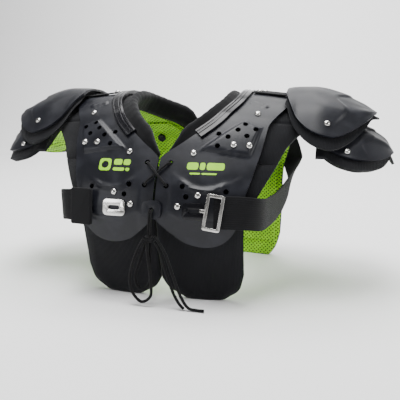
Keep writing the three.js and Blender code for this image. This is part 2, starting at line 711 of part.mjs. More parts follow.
// A cap's pad follows the cap's inner face and shows past its rim and its tip.
function capPad(table, reach, { root, gap, thickness }) {
  const { below } = capFace(table, reach);
  const front = column(table, "out", "front");
  const share = column(table, "out", "pad");
  const outs = [table[0].out * root, ...table.slice(1).map(({ out }) => out)];
  const grid = (way) =>
    outs.map((out) =>
      CAP_ACROSS.map((across) => {
        const tip = Math.max(0, (out - CAP_PAD_TIP) / (outs.at(-1) - CAP_PAD_TIP));
        const past = 1 + (CAP_PAD_MARGIN * Math.sqrt(1 - tip ** 2)) / (CAP_DEPTH * front(out));
        const full = thickness * share(out) * (Math.abs(across) === 1 ? CAP_PAD_EDGE : 1);
        return below(out, across * past, CAP_WALL + gap + way * full);
      }),
    );
  return wall(grid(0), grid(1));
}

// A domed rivet head that stands on z = 0, or starts below it to be joined to what it sits on.
function rivet(base = 0) {
  const rim = 0.7;
  const dome = spread(0, Math.PI / 2, 2).map((angle) => {
    return new THREE.Vector2(RIVET_RADIUS * Math.cos(angle), rim + (RIVET_HEIGHT - rim) * Math.sin(angle));
  });
  dome.at(-1).x = 0;
  const profile = [new THREE.Vector2(0, base), new THREE.Vector2(RIVET_RADIUS, base), ...dome];
  return new THREE.LatheGeometry(profile, 8).rotateX(Math.PI / 2);
}
const shellRivet = (row) => rivet().applyMatrix4(onShell(row, SEAT_GAP + row.lift * POD_HEIGHT));
function capRivet({ table, reach, out, across }) {
  const { below, normal } = capFace(table, reach);
  return rivet().applyMatrix4(facing(below(out, across, -SEAT_GAP), normal(out, across)));
}

// Flat plates with round corners and a hole of the same kind, standing on z = 0.
function rounded(path, { width, height, radius }) {
  const [x, y] = [width / 2 - radius, height / 2 - radius];
  const corners = [
    [x, y],
    [-x, y],
    [-x, -y],
    [x, -y],
  ];
  corners.forEach(([cx, cy], i) => path.absarc(cx, cy, radius, (i * Math.PI) / 2, ((i + 1) * Math.PI) / 2));
  path.closePath();
  return path;
}
function plate(outline, depth, hole) {
  const shape = rounded(new THREE.Shape(), outline);
  if (hole) shape.holes.push(rounded(new THREE.Path(), hole));
  return new THREE.ExtrudeGeometry(shape, { depth, bevelEnabled: false, curveSegments: 2 });
}

const OVER_STRAP = STRAP_WALL + 2 * SEAT_GAP;
function ring() {
  const hole = { width: RING_WIDTH - 2 * RING_BAR, height: RING_HEIGHT - 2 * RING_BAR, radius: 1 };
  const frame = plate({ width: RING_WIDTH, height: RING_HEIGHT, radius: 2.5 }, RING_WALL, hole);
  const nub = plate({ width: RING_BAR * 2, height: RING_BAR, radius: 1.2 }, RING_WALL);
  nub.translate(-(RING_WIDTH + RING_BAR) / 2, 0, 0);
  return join([frame, nub]).applyMatrix4(onShell(RING_SEAT, OVER_STRAP, RING_TILT));
}
function slottedPlate() {
  const hole = { width: PLATE_LENGTH * 0.48, height: PLATE_HEIGHT * 0.26, radius: 1.5 };
  const body = plate({ width: PLATE_LENGTH, height: PLATE_HEIGHT, radius: 5 }, PLATE_WALL, hole);
  const head = rivet(-1).scale(0.55, 0.55, 0.55).translate(-PLATE_LENGTH * 0.38, 0, PLATE_WALL);
  return join([body, head]).applyMatrix4(onShell(PLATE_SEAT, SEAT_GAP));
}
function strapFold() {
  const body = plate({ width: FOLD_WIDTH, height: FOLD_HEIGHT, radius: 2.5 }, FOLD_WALL);
  return body.applyMatrix4(onShell(FOLD_SEAT, OVER_STRAP));
}
function laceTab() {
  const size = LACE_DIAMETER * 1.6;
  const hole = { width: size, height: size, radius: size / 2.2 };
  const body = plate({ width: TAB_WIDTH, height: TAB_HEIGHT, radius: TAB_HEIGHT / 3 }, TAB_WALL, hole);
  return body.applyMatrix4(onShell(TAB_SEAT, SEAT_GAP));
}

// A webbing strap from behind its buckle, round the side, to its end on the back shell.
function strap(start, slack) {
  const onFace = (lift) => ({ across, down }) => {
    const x = across * SHOULDER_REACH;
    return { point: under(x, down, -lift - STRAP_WALL / 2), normal: faceNormal(x, down) };
  };
  const chest = [start, { ...start, across: STRAP_CHEST }].map(onFace(SEAT_GAP));
  const side = STRAP_LINE.map(({ x, y, z, look }) => {
    const bulge = slack * Math.exp(-(((y + 0.7) / 0.4) ** 2));
    const point = new THREE.Vector3((x + bulge) * SHOULDER_REACH, y * FRONT_REACH, z * ARCH_HEIGHT);
    return { point, normal: new THREE.Vector3(Math.cos(degToRad(look)), Math.sin(degToRad(look)), 0) };
  });
  const stations = [...chest, ...side, ...STRAP_BACK.map(onFace(STRAP_REST))];
  const curve = new THREE.CatmullRomCurve3(stations.map(({ point }) => point), false, "centripetal");
  const last = stations.length - 1;
  const grid = (way) =>
    spread(0, last, 2 * last).map((s) => {
      const tangent = curve.getTangent(s / last);
      const normal = stations[Math.floor(s)].normal.clone().lerp(stations[Math.ceil(s)].normal, s % 1);
      normal.addScaledVector(tangent, -normal.dot(tangent)).normalize();
      const width = normal.clone().cross(tangent);
      const middle = curve.getPoint(s / last).addScaledVector(normal, (way * STRAP_WALL) / 2);
      return [-0.5, 0.5].map((share) => middle.clone().addScaledVector(width, share * STRAP_WIDTH));
    });
  return wall(grid(1), grid(-1));
}

// Laces are round tubes through points.
function tube(points, steps) {
  const corners = spread(0, 2 * Math.PI, 8).slice(1);
  const radius = LACE_DIAMETER / 2;
  const section = new THREE.Shape(
    corners.map((angle) => new THREE.Vector2(radius * Math.cos(angle), radius * Math.sin(angle))),
  );
  const extrudePath = new THREE.CatmullRomCurve3(points, false, "centripetal");
  return new THREE.ExtrudeGeometry(section, { steps, extrudePath, bevelEnabled: false });
}
function lacePoint({ x, z, behind }) {
  const y = LACE_PLANE * FRONT_REACH + behind * LACE_DIAMETER;
  return new THREE.Vector3(x * ARCH_HEIGHT, y, z * ARCH_HEIGHT);
}
const freeLace = (rows) => tube(rows.map(lacePoint), 2 * rows.length + 2);
function knot() {
  const ball = new THREE.SphereGeometry(KNOT_WIDTH / 2, 8, 6).scale(1, 0.66, 0.8);
  return ball.translate(...lacePoint(KNOT));
}
function laceStem() {
  const { across, down } = TAB_SEAT;
  const top = SEAT_GAP + TAB_WALL + SEAT_GAP;
  const over = (share, lift) => under(across * SHOULDER_REACH, down + share, -lift);
  const end = lacePoint(KNOT).add(new THREE.Vector3(0, 0, KNOT_WIDTH * 0.4 + SEAT_GAP));
  const r = LACE_DIAMETER / 2;
  return tube([over(0, top), over(0.003, top + 1.4 * r), over(0.02, top + 2 * r), end], 7);
}

// Two strands that cross between the lace holes of the two shells, fused where they cross.
function crossLace([start, end]) {
  const strand = (way) => {
    const rows = [
      { share: 0, lift: SEAT_GAP },
      { share: 0.06, lift: LACE_DIAMETER },
      { share: 0.2, lift: LACE_DIAMETER * 1.1 },
      { share: 0.8, lift: LACE_DIAMETER * 1.1 },
      { share: 0.94, lift: LACE_DIAMETER },
      { share: 1, lift: SEAT_GAP },
    ];
    const points = rows.map(({ share, lift }) => {
      const across = way * lerp(-start.across, end.across, share);
      return under(across * SHOULDER_REACH, lerp(start.down, end.down, share), -lift);
    });
    return tube(points, 8);
  };
  return join([strand(1), strand(-1)]);
}

const LOOKS = {
  plastic: { color: "#2b2c33", roughness: 0.42, metalness: 0 },
  fabric: { color: "#101218", roughness: 0.95, metalness: 0 },
  mesh: { color: "#6fae1e", roughness: 0.85, metalness: 0 },
  trim: { color: "#1c1d22", roughness: 0.3, metalness: 0 },
  webbing: { color: "#0e0f13", roughness: 0.85, metalness: 0 },
  chrome: { color: "#d8d8da", roughness: 0.18, metalness: 1 },
  lace: { color: "#0c0d10", roughness: 0.8, metalness: 0 },
};
const pieces = new THREE.Group();
function add(name, look, geometry) {
  const mesh = new THREE.Mesh(geometry, new THREE.MeshStandardMaterial(LOOKS[look]));
  mesh.name = name;
  pieces.add(mesh);
}
function addPair(name, look, geometry) {
  add(`${name}_l`, look, geometry);
  add(`${name}_r`, look, mirrored(geometry));
}
function mirrored(geometry) {
  const copy = mergeVertices(geometry.clone().scale(-1, 1, 1));
  copy.setIndex([...copy.index.array].reverse());
  return copy;
}

addPair("shell", "plastic", shell());
addPair("front_pad", "fabric", hangingPad(FRONT_SEAM, FRONT_PAD_FOOT, 1));
addPair("back_pad", "fabric", hangingPad(BACK_SEAM, BACK_PAD_FOOT, -1));
addPair("shoulder_pad", "fabric", shoulderPad());
addPair("back_lining", "mesh", backLining());
addPair("lining_snap", "plastic", snap());
addPair("neck_roll", "fabric", neckRoll());
addPair("neck_trim", "trim", neckTrim());
addPair("cap_band", "webbing", capBand());
addPair("upper_cap", "plastic", cap(UPPER_CAP, CAP_REACH));
addPair("upper_cap_pad", "fabric", capPad(UPPER_CAP, CAP_REACH, UPPER_PAD));
addPair("lower_cap", "plastic", cap(LOWER_CAP, LOWER_CAP_REACH));
addPair("lower_cap_pad", "fabric", capPad(LOWER_CAP, LOWER_CAP_REACH, LOWER_PAD));
for (const [name, row] of Object.entries(SHELL_RIVETS)) addPair(name, "chrome", shellRivet(row));
for (const [name, row] of Object.entries(CAP_RIVETS)) addPair(name, "chrome", capRivet(row));
add("chest_plate_l", "plastic", slottedPlate());
add("chest_plate_r", "chrome", mirrored(slottedPlate()));
add("buckle_ring", "chrome", ring());
add("strap_fold", "webbing", mirrored(strapFold()));
add("strap_l", "webbing", strap(RING_SEAT, 0));
add("strap_r", "webbing", mirrored(strap(FOLD_SEAT, SLACK)));
add("lace_tab", "fabric", laceTab());
add("lace_stem", "lace", laceStem());
add("lace_knot", "lace", knot());
add("lace_front", "lace", crossLace(LACE_HOLES));
add("lace_back", "lace", crossLace(BACK_LACE_HOLES));
for (const [name, rows] of Object.entries(FREE_LACE)) add(name, "lace", freeLace(rows));

// Brings the middle of all that isn't free lace over the origin.
const box = new THREE.Box3();
const held = pieces.children.filter(({ name }) => !(name in FREE_LACE));
for (const mesh of held) box.expandByObject(mesh);
for (const { geometry } of pieces.children) geometry.translate(0, -(box.min.y + box.max.y) / 2, 0);

export default pieces;
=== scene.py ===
# %% [markdown]
# # Youth football shoulder pads
# The pads are two plastic shells laced together over soft pads, with two domed caps on each shoulder. The packed
# CAD model is the frame that everything is built round: it says where each piece is. Hard pieces are modelled
# again here with finer curves and their embossed detail, soft pieces get their crowned shape, and each finish is a
# procedural material.

import json
import math

import bpy
import numpy as np
from mathutils import Matrix, Vector

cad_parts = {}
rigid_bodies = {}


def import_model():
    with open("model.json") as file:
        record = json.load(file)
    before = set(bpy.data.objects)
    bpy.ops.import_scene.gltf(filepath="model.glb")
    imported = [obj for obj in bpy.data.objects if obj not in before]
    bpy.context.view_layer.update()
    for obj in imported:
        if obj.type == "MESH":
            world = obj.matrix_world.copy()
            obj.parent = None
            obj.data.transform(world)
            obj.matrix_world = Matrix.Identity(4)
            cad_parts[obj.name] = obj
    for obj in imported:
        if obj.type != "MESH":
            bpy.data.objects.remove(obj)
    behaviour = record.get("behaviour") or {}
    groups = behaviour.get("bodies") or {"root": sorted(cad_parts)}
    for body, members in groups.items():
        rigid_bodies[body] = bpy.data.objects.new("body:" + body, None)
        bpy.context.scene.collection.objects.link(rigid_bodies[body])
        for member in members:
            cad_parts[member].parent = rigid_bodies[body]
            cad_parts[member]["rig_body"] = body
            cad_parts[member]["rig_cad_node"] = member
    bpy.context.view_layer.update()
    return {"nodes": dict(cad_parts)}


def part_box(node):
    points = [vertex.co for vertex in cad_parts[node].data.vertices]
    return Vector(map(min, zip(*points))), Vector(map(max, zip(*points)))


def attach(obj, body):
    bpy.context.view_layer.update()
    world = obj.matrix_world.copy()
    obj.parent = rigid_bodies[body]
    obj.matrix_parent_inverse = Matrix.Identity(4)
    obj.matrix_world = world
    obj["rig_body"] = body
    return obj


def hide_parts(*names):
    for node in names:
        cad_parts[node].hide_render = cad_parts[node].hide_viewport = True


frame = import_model()
MM = 0.001

# %% [markdown]
# ## The camera
# The photograph looks slightly down on the pads and a little from their left. A camera needs a place, a point to
# look at and a lens. These were solved from rivets and edges that can be found in both the photograph and the
# model.

# %% Make the camera
CAMERA_PLACE = (202.3, -671.3, 233.9)
CAMERA_TARGET = (16.5, 12.4, 100)
CAMERA_LENS = 47.07  # millimetres, on a sensor 36 mm wide

bpy.ops.object.select_all(action="DESELECT")
bpy.ops.object.camera_add(location=Vector(CAMERA_PLACE) * MM)
camera = bpy.context.object
camera.data.lens = CAMERA_LENS
camera.data.sensor_width = 36
view_line = Vector(CAMERA_TARGET) - Vector(CAMERA_PLACE)
camera.rotation_euler = view_line.to_track_quat("-Z", "Y").to_euler()
camera.data.clip_start = 0.01
bpy.context.scene.camera = camera

# %% [markdown]
# ## The arch that everything follows
# Seen from the side, the shells and pads make an arch: up from the chest, over the shoulder and down the back. The
# CAD model describes it by a few points, joined by a centripetal Catmull-Rom curve, and says where a thing is by
# x, across the body, and by down, its share of the way from the crown to the chest's foot, or to the back's foot
# where it is negative. The same curve is made here from the same numbers, so new pieces fall exactly on the CAD.

# %% The arch's line
ARCH_HEIGHT = 249
FRONT_REACH = 141
BACK_REACH = 127
SHOULDER_REACH = 148
SIDE_TURN = 0.17
SHOULDER_DROOP = 11
LACE_PLANE = -1.045 * FRONT_REACH
# (reach, rise) as shares of the reaches and of the height
ARCH = [
    (-0.837, 0), (-0.894, 0.161), (-0.965, 0.321), (-1, 0.434), (-0.965, 0.53), (-0.908, 0.602),
    (-0.794, 0.707), (-0.688, 0.795), (-0.539, 0.884), (-0.348, 0.952), (-0.156, 0.99), (0.016, 1),
    (0.22, 0.99), (0.433, 0.952), (0.63, 0.884), (0.78, 0.791), (0.874, 0.691), (0.945, 0.586),
    (0.992, 0.462), (1.008, 0.321), (1, 0.161), (0.969, 0),
]  # fmt: skip

knot_low, knot_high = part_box("lace_knot")
ARCH_Y = (knot_low.y + knot_high.y) / 2 / MM - LACE_PLANE  # the CAD model is centred over the origin
print("the arch stands", round(ARCH_Y, 2), "mm behind its own middle")


def smooth_curve(points, steps=40):
    """Points along a centripetal Catmull-Rom curve through the given ones."""
    points = np.array(points, float)
    points = np.vstack([2 * points[0] - points[1], points, 2 * points[-1] - points[-2]])
    line = []
    for before, start, end, after in zip(points, points[1:], points[2:], points[3:]):
        t0, t1, t2 = (np.linalg.norm(b - a) ** 0.5 for a, b in ((before, start), (start, end), (end, after)))
        leave = ((start - before) / t0 - (end - before) / (t0 + t1) + (end - start) / t1) * t1
        arrive = ((end - start) / t1 - (after - start) / (t1 + t2) + (after - end) / t2) * t1
        t = np.linspace(0, 1, steps, endpoint=False)[:, None]
        bend = (2 * start - 2 * end + leave + arrive) * t**3 + (3 * end - 3 * start - 2 * leave - arrive) * t**2
        line.append(bend + leave * t + start)
    return np.vstack([*line, points[-2:-1]])


def walked(line):
    """How far along a line each of its points is."""
    return np.concatenate([[0], np.cumsum(np.linalg.norm(np.diff(line, axis=0), axis=1))])


crown = ARCH.index((0.016, 1))
scaled = [(y * (FRONT_REACH if y < 0 else BACK_REACH), z * ARCH_HEIGHT) for y, z in ARCH]
front_line = smooth_curve(scaled[crown::-1])
back_line = smooth_curve(scaled[crown:])
FRONT_LENGTH, BACK_LENGTH = walked(front_line)[-1], walked(back_line)[-1]
print("from the crown down the front", round(FRONT_LENGTH), "mm, down the back", round(BACK_LENGTH), "mm")


# %% The curved face of the body
def arch_at(down):
    """y and z of the arch at each down."""
    down = np.asarray(down, float)
    y, z = np.empty(down.shape), np.empty(down.shape)
    for line, here in ((front_line, down >= 0), (back_line, down < 0)):
        along = walked(line)
        share = np.abs(down[here]) * along[-1]
        past = np.maximum(share - along[-1], 0)
        end = (line[-1] - line[-2]) / np.linalg.norm(line[-1] - line[-2])
        y[here] = np.interp(share, along, line[:, 0]) + past * end[0]
        z[here] = np.interp(share, along, line[:, 1]) + past * end[1]
    return y, z


def body(x, down):
    """Points of the shell's outer face, in millimetres."""
    y, z = arch_at(down)
    turn = (x / SHOULDER_REACH) ** 2
    droop = SHOULDER_DROOP * turn * np.maximum(0, z / ARCH_HEIGHT) ** 4
    return np.stack([x, y * (1 - SIDE_TURN * turn) + ARCH_Y, z - droop], axis=-1)


def unit(vectors):
    return vectors / np.linalg.norm(vectors, axis=-1, keepdims=True)


def body_out(x, down):
    """The direction out of the body at each point."""
    along_x = body(x + 1, down) - body(x - 1, down)
    along_down = body(x, down + 0.004) - body(x, down - 0.004)
    return unit(np.cross(along_down, along_x))


def off_body(x, down, lift):
    """Points that stand off the shell's outer face."""
    x, down, lift = np.broadcast_arrays(np.asarray(x, float), np.asarray(down, float), np.asarray(lift, float))
    return body(x, down) + body_out(x, down) * lift[..., None]


# %% [markdown]
# Edges and outlines come from short tables too. Between two rows the value has to glide, or the outline shows a
# corner at each row, so a table is read with a cubic curve whose slope at a row comes from the rows beside it.


# %% Read a table smoothly
def column(table, value):
    """A smooth lookup of one column against the table's first column."""
    k = np.array([row[0] for row in table])
    v = np.array([row[value] for row in table])
    slope = np.array([
        (v[min(i + 1, len(k) - 1)] - v[max(i - 1, 0)]) / (k[min(i + 1, len(k) - 1)] - k[max(i - 1, 0)])
        for i in range(len(k))
    ])

    def look(at):
        at = np.clip(at, k[0], k[-1])
        i = np.clip(np.searchsorted(k, at, side="right") - 1, 0, len(k) - 2)
        h = k[i + 1] - k[i]
        t = (at - k[i]) / h
        rise, start, end = v[i + 1] - v[i], slope[i] * h, slope[i + 1] * h
        return v[i] + t * (start + t * (3 * rise - 2 * start - end + t * (start + end - 2 * rise)))

    return look


# (down, neck edge, side edge, pad's side edge), the edges as shares of SHOULDER_REACH
FRONT_EDGES = [
    (0, 0.541, 1.007, 1.135), (0.09, 0.541, 1, 1.135), (0.174, 0.514, 0.932, 1.128),
    (0.245, 0.446, 0.865, 1.108), (0.3, 0.372, 0.812, 1.068), (0.349, 0.27, 0.797, 1.007),
    (0.398, 0.152, 0.784, 0.953), (0.434, 0.054, 0.77, 0.926), (0.459, 0.008, 0.757, 0.905),
    (0.532, 0.008, 0.723, 0.838), (0.612, 0.008, 0.676, 0.763), (0.7, 0.008, 0.655, 0.695),
    (0.783, 0.008, 0.655, 0.682), (1.02, 0.008, 0.655, 0.676),
]  # fmt: skip
BACK_EDGES = [
    (0, 0.541, 1.007, 1.135), (0.08, 0.534, 1, 1.135), (0.148, 0.486, 0.946, 1.128),
    (0.215, 0.385, 0.885, 1.108), (0.28, 0.223, 0.838, 1.054), (0.337, 0.101, 0.811, 0.973),
    (0.38, 0.008, 0.797, 0.919), (0.473, 0.008, 0.77, 0.865), (0.55, 0.008, 0.743, 0.824),
    (0.63, 0.008, 0.703, 0.811), (0.74, 0.008, 0.662, 0.811), (1.02, 0.008, 0.662, 0.79),
]  # fmt: skip
# (across, down) where the shells and the pads end below
FRONT_SHELL_FOOT = [
    (0, 0.679), (0.155, 0.722), (0.32, 0.761), (0.55, 0.78), (0.74, 0.772), (0.88, 0.743), (0.97, 0.7), (1, 0.66)
]  # fmt: skip
BACK_SHELL_FOOT = [(0, 0.631), (0.155, 0.678), (0.32, 0.725), (0.55, 0.75), (0.74, 0.744), (0.88, 0.71), (1, 0.64)]
FRONT_PAD_FOOT = [
    (0, 0.93), (0.07, 0.963), (0.18, 0.984), (0.36, 1.012), (0.68, 1.012), (0.84, 0.985), (0.95, 0.955), (1, 0.9)
]  # fmt: skip
BACK_PAD_FOOT = [(0, 0.94), (0.08, 0.97), (0.24, 1.012), (0.84, 1.012), (0.93, 0.975), (0.97, 0.94), (1, 0.89)]
CENTRE_GAP = 1.2


def edge_line(value):
    front, back = column(FRONT_EDGES, value), column(BACK_EDGES, value)
    return lambda down: SHOULDER_REACH * np.where(np.asarray(down) >= 0, front(down), back(-np.asarray(down)))


neck_line, side_line, pad_line = edge_line(1), edge_line(2), edge_line(3)


def neck_edge(down):
    return np.maximum(CENTRE_GAP, neck_line(down))


# %% [markdown]
# ## Helpers for making pieces
# Most pieces begin as Blender's grid primitive, whose points lie evenly between 0 and 1 both ways. Each point is
# then moved to its place on the curved body. Because the grid is regular, the mesh stays clean, and its UV map can
# hold real millimetres, which lets a weave keep its true size. A closed pad is the same grid extruded into two
# layers, and a roll or strap is a grid wrapped round a line.


# %% Grids, layers and modifiers
def only(piece):
    """Selects one piece alone, as most operators need."""
    bpy.ops.object.select_all(action="DESELECT")
    piece.select_set(True)
    bpy.context.view_layer.objects.active = piece
    return piece


def edit_selected(piece, *steps):
    """Runs edit-mode steps on what is selected of a piece."""
    only(piece)
    bpy.ops.object.mode_set(mode="EDIT")
    for step in steps:
        step()
    bpy.ops.object.mode_set(mode="OBJECT")


def in_edit_mode(piece, *steps):
    """Runs edit-mode steps on all of a piece."""
    edit_selected(piece, lambda: bpy.ops.mesh.select_all(action="SELECT"), *steps)


def points_of(piece):
    co = np.empty(len(piece.data.vertices) * 3)
    piece.data.vertices.foreach_get("co", co)
    return co.reshape(-1, 3)


def place_points(piece, points, uv=None):
    """Moves a mesh's points, given in millimetres, and writes its UV map in millimetres."""
    piece.data.vertices.foreach_set("co", (np.asarray(points) * MM).ravel())
    if uv is not None:
        corner = np.empty(len(piece.data.loops), int)
        piece.data.loops.foreach_get("vertex_index", corner)
        layer = piece.data.uv_layers.active or piece.data.uv_layers.new(name="UVMap")
        layer.data.foreach_set("uv", np.asarray(uv)[corner].ravel())
    piece.data.update()


def grid(name, columns, rows, layers=1):
    """A grid, or two joined layers of it. Returns the piece and each point's u, v and layer, from 0 to 1."""
    bpy.ops.object.select_all(action="DESELECT")
    bpy.ops.mesh.primitive_grid_add(x_subdivisions=columns, y_subdivisions=rows, size=1)
    piece = bpy.context.object
    piece.name = piece.data.name = name
    if layers == 2:
        in_edit_mode(piece, lambda: bpy.ops.mesh.extrude_region_move(TRANSFORM_OT_translate={"value": (0, 0, 1)}))
    u, v, layer = points_of(piece).T
    return piece, u + 0.5, v + 0.5, layer


def modify(piece, kind, **settings):
    """Adds a modifier and applies it."""
    only(piece)
    modifier = piece.modifiers.new(kind.title(), kind)
    for key, value in settings.items():
        setattr(modifier, key, value)
    bpy.ops.object.modifier_apply(modifier=modifier.name)
    return piece


def faces_out(piece):
    """Merges doubles and turns every face of a closed mesh outwards."""
    in_edit_mode(
        piece,
        lambda: bpy.ops.mesh.remove_doubles(threshold=0.01 * MM),
        lambda: bpy.ops.mesh.normals_make_consistent(inside=False),
    )
    return piece


def smooth(piece, angle=40):
    only(piece)
    bpy.ops.object.shade_smooth_by_angle(angle=math.radians(angle))
    return piece


def sheet_piece(name, columns, rows, place, wall, bevel):
    """A moulded sheet: place(u, v) gives its outer face and its UV, and the wall grows inwards."""
    piece, u, v, _ = grid(name, columns, rows)
    points, uv, out = place(u, v)
    place_points(piece, points, uv)
    normals = np.empty(len(piece.data.polygons) * 3)
    piece.data.polygons.foreach_get("normal", normals)
    first = [piece.data.polygons[i].vertices[0] for i in range(len(piece.data.polygons))]
    if (normals.reshape(-1, 3) * out[first]).sum() < 0:
        in_edit_mode(piece, bpy.ops.mesh.flip_normals)
    modify(piece, "SOLIDIFY", thickness=wall * MM, offset=-1, use_even_offset=True)
    return modify(piece, "BEVEL", width=bevel * MM, segments=3, limit_method="ANGLE", angle_limit=math.radians(50))


def pad_piece(name, columns, rows, place, half):
    """A closed pad. place(u, v, lift) gives points off its middle face, and half(u, v) its half thickness."""
    piece, u, v, layer = grid(name, columns, rows, layers=2)
    points, uv = place(u, v, np.where(layer > 0.5, 1, -1) * half(u, v))
    place_points(piece, points, uv)
    return faces_out(piece)


AROUND = 24  # steps round a swept outline


def sweep(name, centres, rights, ups, section, sizes=None):
    """Wraps a grid round a line of centres. section(angle) gives the outline's right and up, in millimetres."""
    count = len(centres)
    sizes = np.ones(count) if sizes is None else np.asarray(sizes)
    piece, u, v, _ = grid(name, AROUND, count + 1)
    right, up = section(2 * math.pi * np.arange(AROUND + 1) / AROUND)
    station = np.rint(v * (count + 1)).astype(int)
    closed = (station == 0) | (station == count + 1)
    s = np.clip(station - 1, 0, count - 1)
    c = np.rint(u * AROUND).astype(int)
    size = (np.where(closed, 0, 1) * sizes[s])[:, None]
    points = centres[s] + rights[s] * right[c][:, None] * size + ups[s] * up[c][:, None] * size
    rim = walked(np.stack([right, up], axis=1))
    place_points(piece, points, np.stack([rim[c], walked(centres)[s]], axis=1))
    return faces_out(piece)


def copy_piece(master, name, matrix):
    """A copy with its own mesh, moved by a matrix."""
    piece = master.copy()
    piece.data = master.data.copy()
    piece.name = piece.data.name = name
    bpy.context.collection.objects.link(piece)
    piece.data.transform(matrix)
    return piece


def mirrored(piece, name):
    """The same piece for the other side of the body."""
    twin = copy_piece(piece, name, Matrix.Scale(-1, 4, (1, 0, 0)))
    twin.data.flip_normals()
    return twin


def joined(pieces, name):
    """Joins several pieces into the first."""
    bpy.ops.object.select_all(action="DESELECT")
    for piece in pieces:
        piece.select_set(True)
    bpy.context.view_layer.objects.active = pieces[0]
    bpy.ops.object.join()
    pieces[0].name = pieces[0].data.name = name
    return pieces[0]


def done(piece, nodes=()):
    """Attaches a finished piece to what it rides on, and hides the CAD nodes that it stands for."""
    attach(piece, "root")
    if nodes:
        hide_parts(*nodes)
    return piece


def pair(piece, node):
    """Finishes a left piece, makes its right twin, and lets both stand for their CAD nodes."""
    piece.name = piece.data.name = f"{node}_dressed_l"
    twin = mirrored(piece, f"{node}_dressed_r")
    for each, side in ((piece, "l"), (twin, "r")):
        done(each, [f"{node}_{side}"])
    return piece, twin


def glide(value):
    """0 below 0, 1 above 1, and an even S between."""
    t = np.clip(value, 0, 1)
    return t * t * (3 - 2 * t)


# %% [markdown]
# ## Finishes
# Six kinds of surface meet here: satin black plastic with a fine pebble, glossy trim, ribbed black fabric, green
# perforated mesh, bright plated metal, and lime ink. Detail that several of them use is a node group with named
# inputs, made once: a pebble for moulded plastic, ribs for woven and knitted cloth, and holes for mesh. The groups
# put out only heights and masks, and each material keeps its own shader.


# %% Node helpers
def add_node(tree, kind, inputs=None, **settings):
    node = tree.nodes.new(kind)
    for key, value in settings.items():
        setattr(node, key, value)
    for key, value in (inputs or {}).items():
        if isinstance(value, bpy.types.NodeSocket):
            tree.links.new(value, node.inputs[key])
        else:
            node.inputs[key].default_value = value
    return node


def maths(tree, operation, a, b=0.0):
    return add_node(tree, "ShaderNodeMath", {0: a, 1: b}, operation=operation).outputs[0]


def ramp(tree, value, low, high, start=0.0, end=1.0):
    """Maps low..high to start..end, smoothly."""
    inputs = {"Value": value, "From Min": low, "From Max": high, "To Min": start, "To Max": end}
    return add_node(tree, "ShaderNodeMapRange", inputs, interpolation_type="SMOOTHSTEP").outputs[0]


def blend_colours(tree, share, first, second):
    mix = add_node(tree, "ShaderNodeMix", data_type="RGBA")
    for key, value in ((0, share), (6, first), (7, second)):
        if isinstance(value, bpy.types.NodeSocket):
            tree.links.new(value, mix.inputs[key])
        else:
            mix.inputs[key].default_value = value
    return mix.outputs[2]


def new_group(name, inputs, outputs):
    """A shader node group with number inputs, a place (vector) input and number outputs."""
    tree = bpy.data.node_groups.new(name, "ShaderNodeTree")
    tree.interface.new_socket("Place", in_out="INPUT", socket_type="NodeSocketVector")
    for key, value in inputs.items():
        tree.interface.new_socket(key, in_out="INPUT", socket_type="NodeSocketFloat").default_value = value
    for key in outputs:
        tree.interface.new_socket(key, in_out="OUTPUT", socket_type="NodeSocketFloat")
    return tree, tree.nodes.new("NodeGroupInput").outputs, tree.nodes.new("NodeGroupOutput").inputs


def scaled_place(tree, place, scale):
    return add_node(tree, "ShaderNodeVectorMath", {0: place, "Scale": scale}, operation="SCALE").outputs[0]


# %% The shared surface patterns
# The pebble of moulded plastic, in metres: small rounded cells with slow unevenness over them.
pebble, given, result = new_group("moulded_pebble", {"Size": 0.001}, ["Height", "Uneven"])
near = scaled_place(pebble, given["Place"], maths(pebble, "DIVIDE", 1.0, given["Size"]))
cells = add_node(pebble, "ShaderNodeTexVoronoi", {"Vector": near, "Scale": 1.0}, feature="SMOOTH_F1")
slow = add_node(pebble, "ShaderNodeTexNoise", {"Vector": given["Place"], "Scale": 45.0, "Detail": 3.0})
pebble.links.new(cells.outputs["Distance"], result["Height"])
pebble.links.new(slow.outputs["Fac"], result["Uneven"])

# Ribs of cloth, from a UV map in millimetres: one rib each Pitch across u, crossed by finer threads along v.
ribs, given, result = new_group("cloth_ribs", {"Pitch": 1.6, "Thread": 0.8}, ["Height", "Uneven"])
uv = add_node(ribs, "ShaderNodeSeparateXYZ", {0: given["Place"]})
turn = 2 * math.pi
rib = maths(ribs, "SINE", maths(ribs, "MULTIPLY", maths(ribs, "DIVIDE", uv.outputs[0], given["Pitch"]), turn))
thread = maths(ribs, "SINE", maths(ribs, "MULTIPLY", maths(ribs, "DIVIDE", uv.outputs[1], given["Thread"]), turn))
height = maths(ribs, "ADD", maths(ribs, "MULTIPLY", rib, 0.35), maths(ribs, "MULTIPLY", thread, 0.15))
slow = add_node(ribs, "ShaderNodeTexNoise", {"Vector": given["Place"], "Scale": 0.05, "Detail": 4.0})
ribs.links.new(maths(ribs, "ADD", height, 0.5), result["Height"])
ribs.links.new(slow.outputs["Fac"], result["Uneven"])

